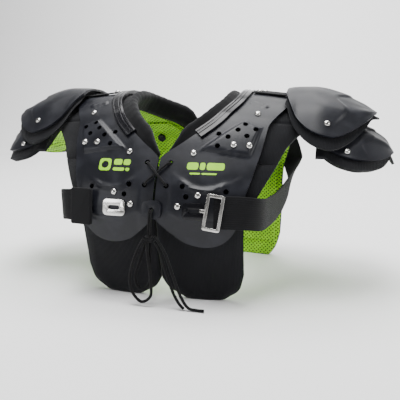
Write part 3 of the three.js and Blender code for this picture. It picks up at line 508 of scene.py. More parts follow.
# Holes of a knitted mesh, from a UV map in millimetres: staggered rows, as a square grid of cells turned by 45
# degrees.
holes, given, result = new_group("mesh_holes", {"Pitch": 3.4}, ["Hole", "Yarn", "Uneven"])
turned = add_node(holes, "ShaderNodeMapping", {"Vector": given["Place"], "Rotation": (0, 0, math.radians(45))})
place = scaled_place(holes, turned.outputs[0], maths(holes, "DIVIDE", 1.0, given["Pitch"]))
dots, fine = (
    add_node(
        holes, "ShaderNodeTexVoronoi", {"Vector": place, "Scale": scale, "Randomness": loose}, voronoi_dimensions="2D"
    )
    for scale, loose in ((1.0, 0.12), (5.0, 0.6))
)
slow = add_node(holes, "ShaderNodeTexNoise", {"Vector": given["Place"], "Scale": 0.04, "Detail": 3.0})
holes.links.new(ramp(holes, dots.outputs["Distance"], 0.34, 0.2), result["Hole"])
holes.links.new(fine.outputs["Distance"], result["Yarn"])
holes.links.new(slow.outputs["Fac"], result["Uneven"])


# %% Materials
def new_material(name, **shader):
    """A material whose shader takes plain values, with its node tree and shader."""
    material = bpy.data.materials.new(name)
    material.use_nodes = True
    principled = material.node_tree.nodes["Principled BSDF"]
    for key, value in shader.items():
        principled.inputs[key.replace("_", " ")].default_value = value
    return material, material.node_tree, principled


def patterned(tree, pattern, source, **values):
    """Places a shared pattern in a material, read from Object coordinates or from the UV map."""
    place = add_node(tree, "ShaderNodeTexCoord").outputs[source]
    node = add_node(tree, "ShaderNodeGroup", node_tree=pattern)
    tree.links.new(place, node.inputs["Place"])
    for key, value in values.items():
        node.inputs[key].default_value = value
    return node.outputs


def raise_surface(tree, principled, height, distance):
    inputs = {"Height": height, "Distance": distance * MM, "Strength": 1.0}
    bump = add_node(tree, "ShaderNodeBump", inputs)
    tree.links.new(bump.outputs[0], principled.inputs["Normal"])


def colour(red, green, blue):
    return (red, green, blue, 1)


def plastic(name, dark, light, size, depth, rough):
    material, tree, principled = new_material(name, Specular_IOR_Level=0.24, Coat_Weight=0.05, Coat_Roughness=0.2)
    grain = patterned(tree, pebble, "Object", Size=size * MM)
    tone = blend_colours(tree, ramp(tree, grain["Uneven"], 0.35, 0.7), dark, light)
    tree.links.new(tone, principled.inputs["Base Color"])
    tree.links.new(ramp(tree, grain["Uneven"], 0.3, 0.75, *rough), principled.inputs["Roughness"])
    raise_surface(tree, principled, grain["Height"], depth)
    return material


def cloth(name, dark, light, pitch, thread, depth, sheen):
    material, tree, principled = new_material(
        name, Roughness=0.92, Sheen_Weight=sheen, Sheen_Roughness=0.45, Specular_IOR_Level=0.25
    )
    weave = patterned(tree, ribs, "UV", Pitch=pitch, Thread=thread)
    # The ribs are painted darker in their grooves and lighter on their crests, a painted shade and highlight that
    # follows the bump, while the slow unevenness varies the tone for real.
    painted_rib_shade_and_tone = maths(tree, "MULTIPLY", weave["Height"], ramp(tree, weave["Uneven"], 0.3, 0.7, 0.6, 1.0))
    tree.links.new(blend_colours(tree, painted_rib_shade_and_tone, dark, light), principled.inputs["Base Color"])
    raise_surface(tree, principled, weave["Height"], depth)
    return material


shell_plastic = plastic(
    "shell_plastic", colour(0.005, 0.0055, 0.0085), colour(0.011, 0.0118, 0.0165),
    size=0.8, depth=0.05, rough=(0.36, 0.47),
)  # fmt: skip
cap_plastic = plastic(
    "cap_plastic", colour(0.0055, 0.006, 0.009), colour(0.012, 0.0128, 0.0175),
    size=1.1, depth=0.07, rough=(0.38, 0.5),
)  # fmt: skip
gloss_trim = plastic(
    "gloss_trim", colour(0.003, 0.003, 0.0045), colour(0.006, 0.006, 0.008), size=2.4, depth=0.015, rough=(0.12, 0.2)
)
# name: (dark, light, pitch, thread, depth, sheen); dark is painted shade in the rib grooves and light a painted
# highlight on the rib crests
CLOTHS = {
    "pad_fabric": (colour(0.0008, 0.0009, 0.0016), colour(0.0045, 0.005, 0.0075), 1.7, 0.9, 0.3, 0.08),
    "roll_fabric": (colour(0.0008, 0.0008, 0.0012), colour(0.004, 0.0043, 0.006), 1.3, 1.1, 0.18, 0.08),
    "strap_webbing": (colour(0.0008, 0.0008, 0.0012), colour(0.005, 0.0052, 0.0068), 2.4, 0.7, 0.22, 0.06),
    "lace_cord": (colour(0.0008, 0.0008, 0.001), colour(0.005, 0.005, 0.006), 1.4, 1.4, 0.2, 0.06),
}
pad_fabric, roll_fabric, strap_webbing, lace_cord = (cloth(name, *values) for name, values in CLOTHS.items())

lime_mesh, tree, principled = new_material(
    "lime_mesh", Roughness=0.72, Sheen_Weight=0.35, Sheen_Roughness=0.4, Specular_IOR_Level=0.3
)
weave = patterned(tree, holes, "UV", Pitch=4.2)
faded = ramp(tree, weave["Uneven"], 0.35, 0.65)
yarn = blend_colours(tree, faded, colour(0.2, 0.52, 0.002), colour(0.31, 0.7, 0.004))
# The lighter lime along the yarn's fine cells is a painted highlight, and the dark green in the holes is painted
# shade.
lit = blend_colours(tree, ramp(tree, weave["Yarn"], 0.1, 0.6, 0.0, 0.35), yarn, colour(0.55, 0.9, 0.03))
hole_shaded_mesh = blend_colours(tree, weave["Hole"], lit, colour(0.012, 0.045, 0.001))
tree.links.new(hole_shaded_mesh, principled.inputs["Base Color"])
relief = maths(tree, "SUBTRACT", maths(tree, "MULTIPLY", weave["Yarn"], 0.3), weave["Hole"])
raise_surface(tree, principled, relief, 0.6)

bright_metal, tree, principled = new_material("bright_metal", Metallic=1.0)
grain = patterned(tree, pebble, "Object", Size=6 * MM)
tone = blend_colours(tree, ramp(tree, grain["Uneven"], 0.35, 0.65), colour(0.5, 0.49, 0.47), colour(0.72, 0.71, 0.69))
tree.links.new(tone, principled.inputs["Base Color"])
tree.links.new(ramp(tree, grain["Uneven"], 0.3, 0.7, 0.1, 0.24), principled.inputs["Roughness"])
raise_surface(tree, principled, grain["Height"], 0.02)

lime_print, tree, principled = new_material("lime_print", Roughness=0.5)
grain = patterned(tree, pebble, "Object", Size=0.8 * MM)
tone = blend_colours(tree, ramp(tree, grain["Uneven"], 0.35, 0.7), colour(0.27, 0.62, 0.0), colour(0.33, 0.7, 0.0))
tree.links.new(tone, principled.inputs["Base Color"])
raise_surface(tree, principled, grain["Height"], 0.05)


def wear(piece, *materials):
    """Gives a piece its materials, the first one to all of its faces."""
    piece.data.materials.clear()
    for material in materials:
        piece.data.materials.append(material)
    piece.data.polygons.foreach_set("material_index", [0] * len(piece.data.polygons))
    return piece


# %% [markdown]
# ## The two shells
# Each shell is one moulded sheet, 3 mm thick, bent over the shoulder. What gives it character is its relief: a
# raised pod round the vent holes, a raised panel on the chest under a curved bead, and a small bar near the top.
# These are heights added to the sheet's face, each with soft slopes as a mould leaves them, measured in
# millimetres from the middle plane and from the crown. The holes are then cut right through with a Boolean.

# %% Relief of the chest
POD_HEIGHT, POD_SLOPE = 3.6, 5
PANEL_HEIGHT, PANEL_DROP = 0.35, 0.9  # the buckle lies on the panel, so it stands up less than its foot falls away
PANEL_SLOPE, PANEL_INNER, PANEL_OUTER = 4, 18, 97
DROP_FROM, DROP_RUN = 14, 8  # where, going outwards, the fall below the panel begins
BEAD_HEIGHT, BEAD_WIDTH = 2.3, 3
BAR_HEIGHT, BAR_HALF, BAR_SLOPE = 1.4, 4.2, 2
POD = [(0.615, 0.297), (0.75, 0.322), (0.689, 0.44), (0.33, 0.418)]  # corners, (across, down)
PANEL_TOP = [(20, 168), (25, 171), (32, 179), (43, 186), (54, 188), (69, 186), (79, 181), (87, 177), (92, 172)]
PANEL_FOOT = [(20, 216), (31, 222), (49, 225), (73, 224), (92, 217)]
BAR = [(97, 57), (112, 64)]


def off_line(x, along, line):
    """Distance from each point to a line of (x, along) points, and how far along that line it is, from 0 to 1."""
    line = np.array(line, float)
    reach = walked(line)
    best, where = np.full(x.shape, 1e9), np.zeros(x.shape)
    for start, end, begun in zip(line, line[1:], reach):
        step = end - start
        t = np.clip(((x - start[0]) * step[0] + (along - start[1]) * step[1]) / (step @ step), 0, 1)
        distance = np.hypot(x - start[0] - t * step[0], along - start[1] - t * step[1])
        nearer = distance < best
        best = np.where(nearer, distance, best)
        where = np.where(nearer, (begun + t * np.hypot(*step)) / reach[-1], where)
    return best, where


def inside(x, along, corners):
    """How deep each point lies inside a polygon whose corners run clockwise, negative outside."""
    corners = np.array(corners, float)
    depths = []
    for start, end in zip(corners, np.roll(corners, -1, axis=0)):
        step = (end - start) / np.linalg.norm(end - start)
        depths.append(step[0] * (along - start[1]) - step[1] * (x - start[0]))
    return np.min(depths, axis=0)


def chest_relief(x, down):
    along = down * FRONT_LENGTH
    pod = [(across * SHOULDER_REACH, share * FRONT_LENGTH) for across, share in POD]
    lift = POD_HEIGHT * glide(inside(x, along, pod) / POD_SLOPE + 0.5)
    top = np.interp(x, *np.array(PANEL_TOP).T)
    foot = np.interp(x, *np.array(PANEL_FOOT).T)
    depth = np.minimum.reduce([along - top, foot - along, x - PANEL_INNER, PANEL_OUTER - x])
    drop = PANEL_DROP * glide((along - foot) / PANEL_SLOPE + 0.5) * glide((x - DROP_FROM) / DROP_RUN)
    lift += PANEL_HEIGHT * glide(depth / PANEL_SLOPE + 0.5) - drop
    bead, where = off_line(x, along, PANEL_TOP[1:-1])
    lift += BEAD_HEIGHT * np.exp(-((bead / BEAD_WIDTH) ** 2)) * glide(4 * where) * glide(4 * (1 - where))
    bar, _ = off_line(x, along, BAR)
    return lift + BAR_HEIGHT * glide((BAR_HALF - bar) / BAR_SLOPE)


# %% Shape the shells
SHELL_WALL, HOLE_RADIUS = 3, 3.1
# (across, down)
VENT_HOLES = [
    (0.632, 0.312), (0.716, 0.333), (0.581, 0.339), (0.655, 0.364), (0.514, 0.37), (0.436, 0.352), (0.443, 0.407)
]  # fmt: skip
SPARE_HOLES = [(0.547, 0.575), (0.216, 0.56), (0.25, 0.596)]
LACE_HOLES = [(0.095, 0.474), (0.088, 0.56), (0.095, -0.43), (0.095, -0.55)]


def spot(across, down, lift=0.0):
    """A point and its outward direction on the left shell, in millimetres."""
    x, down = np.array([across * SHOULDER_REACH]), np.array([down])
    return off_body(x, down, lift)[0], body_out(x, down)[0]


def facing(point, out, turn=0.0):
    """The matrix that stands something made flat, facing up, on a point so that it faces along out."""
    out = Vector(out)
    right = (Vector((1, 0, 0)) - out * out.x).normalized()
    matrix = Matrix((right, out.cross(right), out)).transposed().to_4x4()
    return Matrix.Translation(Vector(point) * MM) @ matrix @ Matrix.Rotation(turn, 4, "Z")


def shell_place(u, v):
    """v runs from the chest's foot (0) over the crown to the back's foot (1)."""
    across = (1 - np.cos(math.pi * u)) / 2  # closer together at both edges, where the outline turns
    row = 1 - 2 * v
    front, back = column(FRONT_SHELL_FOOT, 1), column(BACK_SHELL_FOOT, 1)
    down = row * np.where(row > 0, front(across), back(across))
    x = neck_edge(down) + (side_line(down) - neck_edge(down)) * across
    along = np.where(down > 0, FRONT_LENGTH, BACK_LENGTH) * down
    return off_body(x, down, chest_relief(x, down)), np.stack([x, along], axis=1), body_out(x, down)


shell_left = sheet_piece("shell", 64, 210, shell_place, SHELL_WALL, bevel=0.7)
bpy.ops.object.select_all(action="DESELECT")
bpy.ops.mesh.primitive_cylinder_add(vertices=20, radius=HOLE_RADIUS * MM, depth=0.03)
drill = bpy.context.object
holes_at = VENT_HOLES + SPARE_HOLES + LACE_HOLES
drills = joined([copy_piece(drill, "drill", facing(*spot(across, down))) for across, down in holes_at], "drills")
bpy.data.objects.remove(drill)
modify(shell_left, "BOOLEAN", operation="DIFFERENCE", object=drills, solver="EXACT", use_self=True)
bpy.data.objects.remove(drills)
wear(smooth(shell_left, 35), shell_plastic)
pair(shell_left, "shell")
print("each shell has", len(shell_left.data.polygons), "faces")

# %% [markdown]
# ## The body pads
# Under each shell lie three pads: one on the chest, one over the shoulder and one on the back. They are foam in a
# ribbed black cover, with green mesh on the side that faces the wearer. A pad is full in the middle and pulled thin
# where it is sewn round its edge, and sewn lines press channels into it. Here each pad is a grid in two layers
# whose spacing is that crowned thickness, less the channels, with a slow ripple as foam has.

# %% Shape the body pads
PAD_THICKNESS = 12
PAD_MIDDLE = 10.8  # from the shell's outer face: the wall, one and a half gaps and half a pad
FRONT_SEAM, BACK_SEAM, SEAM_GAP = 0.456, 0.47, 0.003
ROLL_DOWNS = [
    0.436, 0.41, 0.375, 0.335, 0.285, 0.23, 0.17, 0.09, 0, -0.09, -0.155, -0.205, -0.255, -0.3, -0.34, -0.36
]  # fmt: skip
ROLL_OVERLAP = 9
LAYER_GAP = 1.2


DOWN_STEP = 0.01  # for slopes along the neck
FREE_FROM, FREE_RUN = 0.01, 0.04  # past the roll's end, where the pad closes towards the middle plane


def pad_neck(down):
    """The pad's edge at the neck, beside the roll, and close to the middle plane past the roll's ends."""
    length = np.where(down >= 0, FRONT_LENGTH, BACK_LENGTH)
    slant = np.hypot(1, (neck_edge(down + DOWN_STEP) - neck_edge(down - DOWN_STEP)) / (2 * DOWN_STEP * length))
    past = np.abs(down) - np.where(down > 0, ROLL_DOWNS[0], -ROLL_DOWNS[-1])
    clear = (ROLL_OVERLAP + 2.5 * LAYER_GAP) * slant * (1 - glide((past - FREE_FROM) / FREE_RUN))
    return np.maximum(neck_edge(down) + clear, CENTRE_GAP - 0.5)


PAD_EDGE, SIDE_RUN, END_RUN = 2.2, 16, 12  # half thickness at the sewn edge, and how far in the crown is full
NECK_RISE, NECK_START = 3, 7
CHANNEL_DEPTH, CHANNEL_WIDTH = 1.6, 2.2
RIPPLE, RIPPLE_FROM, LEAST_HALF = 0.35, 3, 1.2  # only where the pad is full enough does it ripple


def crowned(u, v, width, length):
    """Half the thickness of a pad, from its sewn edge to its full middle. It stays blunt towards the neck."""
    side = np.minimum(u * width * NECK_RISE + NECK_START, (1 - u) * width)
    end = np.minimum(v, 1 - v) * length
    rise = np.sqrt(glide(side / SIDE_RUN)) * np.sqrt(glide(end / END_RUN))
    return PAD_EDGE + (PAD_THICKNESS / 2 - PAD_EDGE) * rise


def ripple(x, y):
    """Slow unevenness of foam, up to 1 either way."""
    swell = np.sin(x / 13 + 1.3) * np.sin(y / 17 + 0.4)
    return (swell + 0.5 * np.sin(x / 6.1 + y / 9.7) + 0.3 * np.sin(y / 5.3 - x / 11)) / 1.8


def body_pad(name, columns, rows, down_at, width, length, channels=()):
    """channels are (u, v, u, v) lines that stitching presses in."""

    def place(u, v, lift):
        across = (1 - np.cos(math.pi * u)) / 2
        down = down_at(v, across)
        x = pad_neck(down) + (pad_line(down) - pad_neck(down)) * across
        along = np.where(down > 0, FRONT_LENGTH, BACK_LENGTH) * down
        pressed = np.zeros(x.shape)
        for u0, v0, u1, v1 in channels:
            stitched = [(u0 * width, v0 * length), (u1 * width, v1 * length)]
            reach, _ = off_line(across * width, v * length, stitched)
            pressed += CHANNEL_DEPTH * np.exp(-((reach / CHANNEL_WIDTH) ** 2))
        uneven = RIPPLE * ripple(x, along) * (np.abs(lift) > RIPPLE_FROM)
        lift = np.sign(lift) * np.maximum(np.abs(lift) - pressed + uneven, LEAST_HALF)
        points = off_body(x, down, lift - PAD_MIDDLE)
        points[..., 2] = np.maximum(points[..., 2], 0)
        return points, np.stack([x, along], axis=1)

    def half(u, v):
        return crowned((1 - np.cos(math.pi * u)) / 2, v, width, length)

    return pad_piece(name, columns, rows, place, half)


WEARER_MIDDLE, FACING_IN = 60, -0.6  # height that the pads curve round, and how squarely a face has to look there


def inner_faces(piece):
    """The faces of a left pad that look at the wearer."""
    faces = []
    for face in piece.data.polygons:
        x, y, z = (value / MM for value in face.center)
        away = (0.2 * x / SHOULDER_REACH, (y - ARCH_Y) / FRONT_REACH, (z - WEARER_MIDDLE) / ARCH_HEIGHT)
        out = Vector(away).normalized()
        if face.normal.dot(out) < FACING_IN:
            faces.append(face)
    return faces


def line_with_mesh(piece):
    """Black cover outside, green mesh inside."""
    wear(piece, pad_fabric, lime_mesh)
    for face in inner_faces(piece):
        face.material_index = 1
    return piece


def hanging(seam, foot, way):
    foot_down = column(foot, 1)
    return lambda v, across: way * (seam + SEAM_GAP + (foot_down(across) - seam - SEAM_GAP) * v)


front_pad = body_pad("front_pad", 52, 90, hanging(FRONT_SEAM, FRONT_PAD_FOOT, 1), width=110, length=175)
back_pad = body_pad("back_pad", 52, 84, hanging(BACK_SEAM, BACK_PAD_FOOT, -1), width=118, length=168)
shoulder_pad = body_pad(
    "shoulder_pad", 44, 150, lambda v, across: FRONT_SEAM + (-BACK_SEAM - FRONT_SEAM) * v,
    width=80, length=295, channels=[(0.1, 0.2, 0.9, 0.2)],
)  # fmt: skip
for piece, node in ((front_pad, "front_pad"), (back_pad, "back_pad"), (shoulder_pad, "shoulder_pad")):
    line_with_mesh(smooth(piece, 60))
    for each in pair(piece, node):
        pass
    print(node, "has", len(piece.data.polygons), "faces")

# %% [markdown]
# ## The green lining of the back
# A separate skin of perforated mesh lies inside the back pads, sewn round its edge. It is the bright green that
# shows through the neck opening. A snap holds it to the pad so that it can be taken out for washing. The skin is a
# single grid given a wall, bulging a little between its sewn edges.

# %% Make the back lining and its snap
LINING_DEPTH = PAD_MIDDLE + PAD_THICKNESS / 2 + LAYER_GAP
LINING_MARGIN, LINING_WALL, LINING_BULGE = 6, 1.6, 1.1
CAD_LINING_WALL = 1.8  # a little thicker than the dressed one, which bulges instead
SNAP_RADIUS, SNAP_HEIGHT, SNAP_DEPTH = 6, 3, LINING_DEPTH + CAD_LINING_WALL + LAYER_GAP
LINING_SPAN = (-0.29, -0.93)
SNAP_SEAT = (0.46, -0.39)


def lining_place(u, v):
    down = LINING_SPAN[0] + (LINING_SPAN[1] - LINING_SPAN[0]) * v
    near, far = pad_neck(down) + LINING_MARGIN, pad_line(down) - LINING_MARGIN
    x = near + (far - near) * u
    along = down * BACK_LENGTH
    full = np.sqrt(np.clip(np.sin(math.pi * u) * np.sin(math.pi * v), 0, 1))
    bulge = LINING_BULGE * full + 0.4 * ripple(x, along)
    return off_body(x, down, -LINING_DEPTH - bulge), np.stack([x, along], axis=1), body_out(x, down)


back_lining = sheet_piece("back_lining", 40, 80, lining_place, LINING_WALL, bevel=0.5)
wear(smooth(back_lining, 50), lime_mesh)
pair(back_lining, "back_lining")

bpy.ops.object.select_all(action="DESELECT")
bpy.ops.mesh.primitive_cylinder_add(
    vertices=28, radius=SNAP_RADIUS * MM, depth=SNAP_HEIGHT * MM, location=(0, 0, SNAP_HEIGHT / 2 * MM)
)
bpy.ops.object.transform_apply(location=True)
snap = bpy.context.object


def select_faces(piece, wanted):
    """Selects, in object mode, the faces for which wanted(face) is true."""
    for part in (piece.data.vertices, piece.data.edges):
        part.foreach_set("select", [False] * len(part))
    for face in piece.data.polygons:
        face.select = wanted(face)


def select_points(piece, wanted):
    """Selects, in object mode, the points marked in a list of yes and no."""
    for part in (piece.data.edges, piece.data.polygons):
        part.foreach_set("select", [False] * len(part))
    piece.data.vertices.foreach_set("select", [bool(value) for value in wanted])


def shape_top(piece, *steps):
    """Insets the top face and moves it, once for each (inset, rise) in millimetres."""
    select_faces(piece, lambda face: face.normal.z > 0.9)
    edit_selected(
        piece,
        lambda: bpy.ops.mesh.select_mode(type="FACE"),
        lambda: [bpy.ops.mesh.inset(thickness=inset * MM, depth=rise * MM) for inset, rise in steps],
        lambda: bpy.ops.mesh.select_mode(type="VERT"),
    )
    return piece


shape_top(snap, (0.8, 0.5), (1.6, 0), (0.4, -0.8), (1.2, 0))
modify(snap, "BEVEL", width=0.3 * MM, segments=2, limit_method="ANGLE", angle_limit=math.radians(35))
point, out = spot(*SNAP_SEAT, -SNAP_DEPTH)
snap.data.transform(facing(point, -out))
wear(smooth(snap), gloss_trim)
pair(snap, "lining_snap")

# %% [markdown]
# ## The neck roll and the edge trim
# A soft roll goes round the neck opening inside the shell, thinner where the two sides meet. On the shell's edge
# sits a glossy strip with two raised lines. Both follow the neck edge, so both are one outline swept along it: an
# oval for the roll, and a hooked flange for the trim.

# %% Sweep along the neck
ROLL_WIDTH, ROLL_THICKNESS, ROLL_SWELL = 29, 19, 7
ROLL_SIZE = [(0, 0.36), (0.07, 0.62), (0.17, 1), (0.83, 1), (0.93, 0.62), (1, 0.36)]
ROLL_SEAM = (0.07, 2.2, 0.12)  # depth as a share, angle and half width of the seam along the roll
SWELL_START, SWELL_RUN, SWELL_LAG = 5, 9, 0.2
PUCKER, PUCKER_STEP, ROLL_END = 0.012, 2.1, 0.7
TRIM_SPAN = (0.352, -0.3)


def neck_frame(downs):
    """Centres on the neck edge, with directions onto the shell and out of it."""
    downs = np.asarray(downs, float)
    line = body(neck_edge(downs), downs)
    tangent = unit(np.gradient(line, axis=0))
    out = body_out(neck_edge(downs), downs)
    onto = np.cross(tangent, out)
    return line, unit(onto * np.sign(onto[:, :1])), out


def spaced(values, count):
    """The same run of values, with more steps."""
    return np.interp(np.linspace(0, 1, count), np.linspace(0, 1, len(values)), values)


line, onto, out = neck_frame(spaced(ROLL_DOWNS, 120))
share = np.linspace(0, 1, 120)
size = column(ROLL_SIZE, 1)(share)
puckers = 1 + PUCKER * np.sin(walked(line) / PUCKER_STEP)
middle_onto = ROLL_OVERLAP - ROLL_WIDTH / 2 + ROLL_WIDTH / 3 * (1 - size)
centres = line + onto * middle_onto[:, None] - out * (SHELL_WALL + LAYER_GAP + ROLL_THICKNESS / 2)
size[[0, -1]] *= ROLL_END


def roll_outline(angle):
    """An oval that swells outwards where it is free of the shell's edge, with one seam along it."""
    depth, at, spread = ROLL_SEAM
    seam = 1 - depth * np.exp(-(((angle - at) / spread) ** 2))
    right = ROLL_WIDTH / 2 * np.cos(angle) * seam
    free = glide((ROLL_WIDTH / 2 - ROLL_OVERLAP - SWELL_START - right) / SWELL_RUN - SWELL_LAG)
    return right, ROLL_THICKNESS / 2 * np.sin(angle) * seam + ROLL_SWELL * free


neck_roll = sweep("neck_roll", centres, onto, out, roll_outline, size * puckers)
wear(smooth(neck_roll, 60), roll_fabric)
for each in pair(neck_roll, "neck_roll"):
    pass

TRIM_OUTLINE = [
    (-3.1, 2.6), (-2.6, 3.1), (-0.5, 3.3), (0.2, 2.6), (1.0, 2.6), (1.8, 3.3), (3.4, 3.3), (4.2, 2.6), (7.2, 2.6),
    (7.8, 3.3), (9.4, 3.3), (9.9, 2.9), (10, 1.8), (9.8, 1), (6, 0.95), (2, 0.95), (-0.7, 0.95), (-0.95, 0.6),
    (-0.95, -1), (-0.95, -2.8), (-1.2, -3), (-2.9, -3), (-3.15, -2.7), (-3.15, 0),
]  # fmt: skip
line, onto, out = neck_frame(np.linspace(*TRIM_SPAN, 110))
outline = np.array([*TRIM_OUTLINE, TRIM_OUTLINE[0]]).T
neck_trim = sweep("neck_trim", line, onto, out, lambda angle: outline)
wear(smooth(neck_trim, 35), gloss_trim)
pair(neck_trim, "neck_trim")

# %% [markdown]
# ## The shoulder caps
# Each shoulder carries two domed caps, one over the other, each on a black foam pad. A cap is described by its
# sections across the shoulder: how far forward it reaches, and how high its ridge and its rim are. Long ribs run over
# it towards the tip, which stiffen the thin plastic, and its dome ends in a step. Both are heights added to the cap's
# face that fade out at the inner edge and at the rim.

# %% Cap surfaces
CAP_REACH, LOWER_CAP_REACH = 241, 263
CAP_DEPTH, CAP_REAR, CAP_SQUARENESS, CAP_FALL_END, CAP_WALL = 80, 1.12, 2.2, 1.6, 3
CAP_PAD_MARGIN, CAP_TIP_FROM = 8, 0.9
# (out, front, ridge, rim, pad) as in the CAD model
UPPER_CAP = [
    (0.558, 0.48, 1.006, 0.98, 0.2), (0.585, 0.7, 1.01, 0.932, 0.28), (0.622, 0.87, 1.01, 0.866, 0.3),
    (0.684, 0.97, 1.004, 0.815, 0.6), (0.747, 1, 0.99, 0.791, 1), (0.809, 0.95, 0.972, 0.783, 1),
    (0.871, 0.825, 0.949, 0.803, 1), (0.929, 0.62, 0.922, 0.835, 0.9), (0.975, 0.37, 0.9, 0.867, 0.6),
    (1, 0.12, 0.887, 0.884, 0.45), (1.024, 0.04, 0.874, 0.872, 0.3),
]  # fmt: skip
LOWER_CAP = [
    (0.7, 0.9, 0.856, 0.735, 0.8), (0.76, 0.93, 0.845, 0.703, 0.95), (0.82, 0.93, 0.822, 0.686, 1),
    (0.875, 0.84, 0.805, 0.677, 1), (0.925, 0.64, 0.78, 0.672, 0.95), (0.965, 0.42, 0.748, 0.676, 0.7),
    (0.99, 0.24, 0.713, 0.686, 0.5), (1, 0.14, 0.697, 0.692, 0.4), (1.024, 0.04, 0.645, 0.643, 0.3),
]  # fmt: skip


SLOPE_STEP = 0.015


def cap_face(table, reach):
    front, ridge, rim = (column(table, value) for value in (1, 2, 3))

    def point(out, across):
        half = CAP_DEPTH * front(out) * np.where(across > 0, CAP_REAR, 1)
        fall = (ridge(out) - rim(out)) * np.minimum(np.abs(across), CAP_FALL_END) ** CAP_SQUARENESS
        return np.stack([out * reach, across * half + ARCH_Y, (ridge(out) - fall) * ARCH_HEIGHT], axis=-1)

    def normal(out, across):
        to = np.minimum(out + SLOPE_STEP, table[-1][0])
        along_out = point(to, across) - point(to - 2 * SLOPE_STEP, across)
        along_across = point(out, across + SLOPE_STEP) - point(out, across - SLOPE_STEP)
        return unit(np.cross(along_out, along_across))

    return point, normal


# starts, rises and ends are shares of the way from a cap's inner edge to its tip, rims are shares of its half depth
RIB_START, RIB_RISE, RIB_TIP = 0.2, 0.25, 0.16
RIB_RIM, RIB_RIM_RUN = 0.96, 0.3
DOME_HEIGHT, DOME_START, DOME_RISE = 1.7, 0.05, 0.3
DOME_END, DOME_WAVE, DOME_BOW, DOME_STEP = 0.66, 0.07, 0.1, 0.05
DOME_RIM, DOME_RIM_RUN = 0.98, 0.25


def cap_relief(out, across, table, count, depth):
    """Ribs that run from the inner edge to the tip, and a dome that ends in a step before the tip."""
    share = (out - table[0][0]) / (1 - table[0][0])
    wave = np.cos(across * count * math.pi)
    crest = 0.5 + 0.5 * wave
    at_tip, at_rim = glide((1.0 - share) / RIB_TIP), glide((RIB_RIM - np.abs(across)) / RIB_RIM_RUN)
    ribs = depth * crest**2 * glide((share - RIB_START) / RIB_RISE) * at_tip * at_rim
    end = DOME_END + DOME_WAVE * wave - DOME_BOW * across**2
    at_step, at_rim = glide((end - share) / DOME_STEP), glide((DOME_RIM - np.abs(across)) / DOME_RIM_RUN)
    return ribs + DOME_HEIGHT * glide((share - DOME_START) / DOME_RISE) * at_step * at_rim


def cap_sheet(name, table, reach, count, depth):
    point, normal = cap_face(table, reach)

    def place(u, v):
        out = table[0][0] + (1 - table[0][0]) * v
        across = 2 * u - 1
        normals = normal(out, across)
        lift = cap_relief(out, across, table, count, depth)
        points = point(out, across) + normals * lift[:, None]
        return points, points[:, :2], normals

    piece = sheet_piece(name, 72, 56, place, CAP_WALL, bevel=0.9)
    return wear(smooth(piece, 40), cap_plastic)


RIM_RUN, RIM_LEAST, RIM_REST = 0.1, 0.55, 0.45  # a cap's pad thins to a share of itself at its front and rear


def cap_pad(name, table, reach, thickness, root, gap):
    point, normal = cap_face(table, reach)
    front, pad = column(table, 1), column(table, 4)

    def place(u, v, lift):
        out = table[0][0] * root + (table[-1][0] - table[0][0] * root) * v
        across = 2 * u - 1
        tip = np.clip((out - CAP_TIP_FROM) / (table[-1][0] - CAP_TIP_FROM), 0, 1)
        past = 1 + CAP_PAD_MARGIN * np.sqrt(1 - tip**2) / (CAP_DEPTH * front(out))
        points = point(out, across * past) - normal(out, across * past) * (CAP_WALL + gap - lift)[:, None]
        return points, points[:, :2]

    def half(u, v):
        """Measured from the pad's upper side, so the cap above always clears it."""
        out = table[0][0] * root + (table[-1][0] - table[0][0] * root) * v
        rim = glide(np.minimum(u, 1 - u) / RIM_RUN)
        return thickness * pad(out) * (RIM_LEAST + RIM_REST * rim) / 2

    def below(u, v, lift):
        return place(u, v, lift - half(u, v))

    piece = pad_piece(name, 60, 44, below, half)
    return smooth(piece, 60)


upper_cap = cap_sheet("upper_cap", UPPER_CAP, CAP_REACH, count=3, depth=1.8)
lower_cap = cap_sheet("lower_cap", LOWER_CAP, LOWER_CAP_REACH, count=4, depth=1.5)
pair(upper_cap, "upper_cap")
pair(lower_cap, "lower_cap")

upper_cap_pad = cap_pad("upper_cap_pad", UPPER_CAP, CAP_REACH, thickness=7, root=1.015, gap=2.04)
lower_cap_pad = cap_pad("lower_cap_pad", LOWER_CAP, LOWER_CAP_REACH, thickness=11, root=0.94, gap=1.65)
wear(upper_cap_pad, pad_fabric)
wear(lower_cap_pad, pad_fabric, lime_mesh)  # the mesh lines the side that looks at the arm
cap_front = column(LOWER_CAP, 1)
MESH_FACING, MESH_FRONT, MESH_REAR, MESH_OUT = -0.15, -0.9, 1, 0.95
for face in lower_cap_pad.data.polygons:
    out = face.center.x / MM / LOWER_CAP_REACH
    across = (face.center.y / MM - ARCH_Y) / (CAP_DEPTH * cap_front(out))
    if face.normal.z < MESH_FACING and MESH_FRONT < across < MESH_REAR and out < MESH_OUT:
        face.material_index = 1
for piece, node in ((upper_cap_pad, "upper_cap_pad"), (lower_cap_pad, "lower_cap_pad")):
    for each in pair(piece, node):
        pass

# %% [markdown]
# ## Rivets
# Bright domed rivets hold the pods, the webbing and the caps. One is modelled: a sphere cut off by a bisecting
# plane, flattened, with a small flange under it. Every other rivet is a copy with its own mesh, turned to face out
# of what it sits on.

# %% Model one rivet and copy it
RIVET_RADIUS, RIVET_CUT, RIVET_SQUASH, RIVET_FLANGE = 3.8, 0.4, 0.62, 0.7
SEAT_GAP = 0.5
# (across, down, share of the pod's height)
SHELL_RIVETS = {
    "rivet_top": (0.709, 0.246, 0), "rivet_vent_side": (0.682, 0.403, 1), "rivet_vent_middle": (0.564, 0.402, 1),
    "rivet_neck": (0.264, 0.434, 0), "rivet_chest": (0.341, 0.59, 0.1), "rivet_buckle": (0.19, 0.63, 0.1),
}  # fmt: skip
CAP_RIVETS = {
    "rivet_upper_cap": (UPPER_CAP, CAP_REACH, 0.765, -0.87),
    "rivet_lower_cap": (LOWER_CAP, LOWER_CAP_REACH, 0.79, -0.93),
}

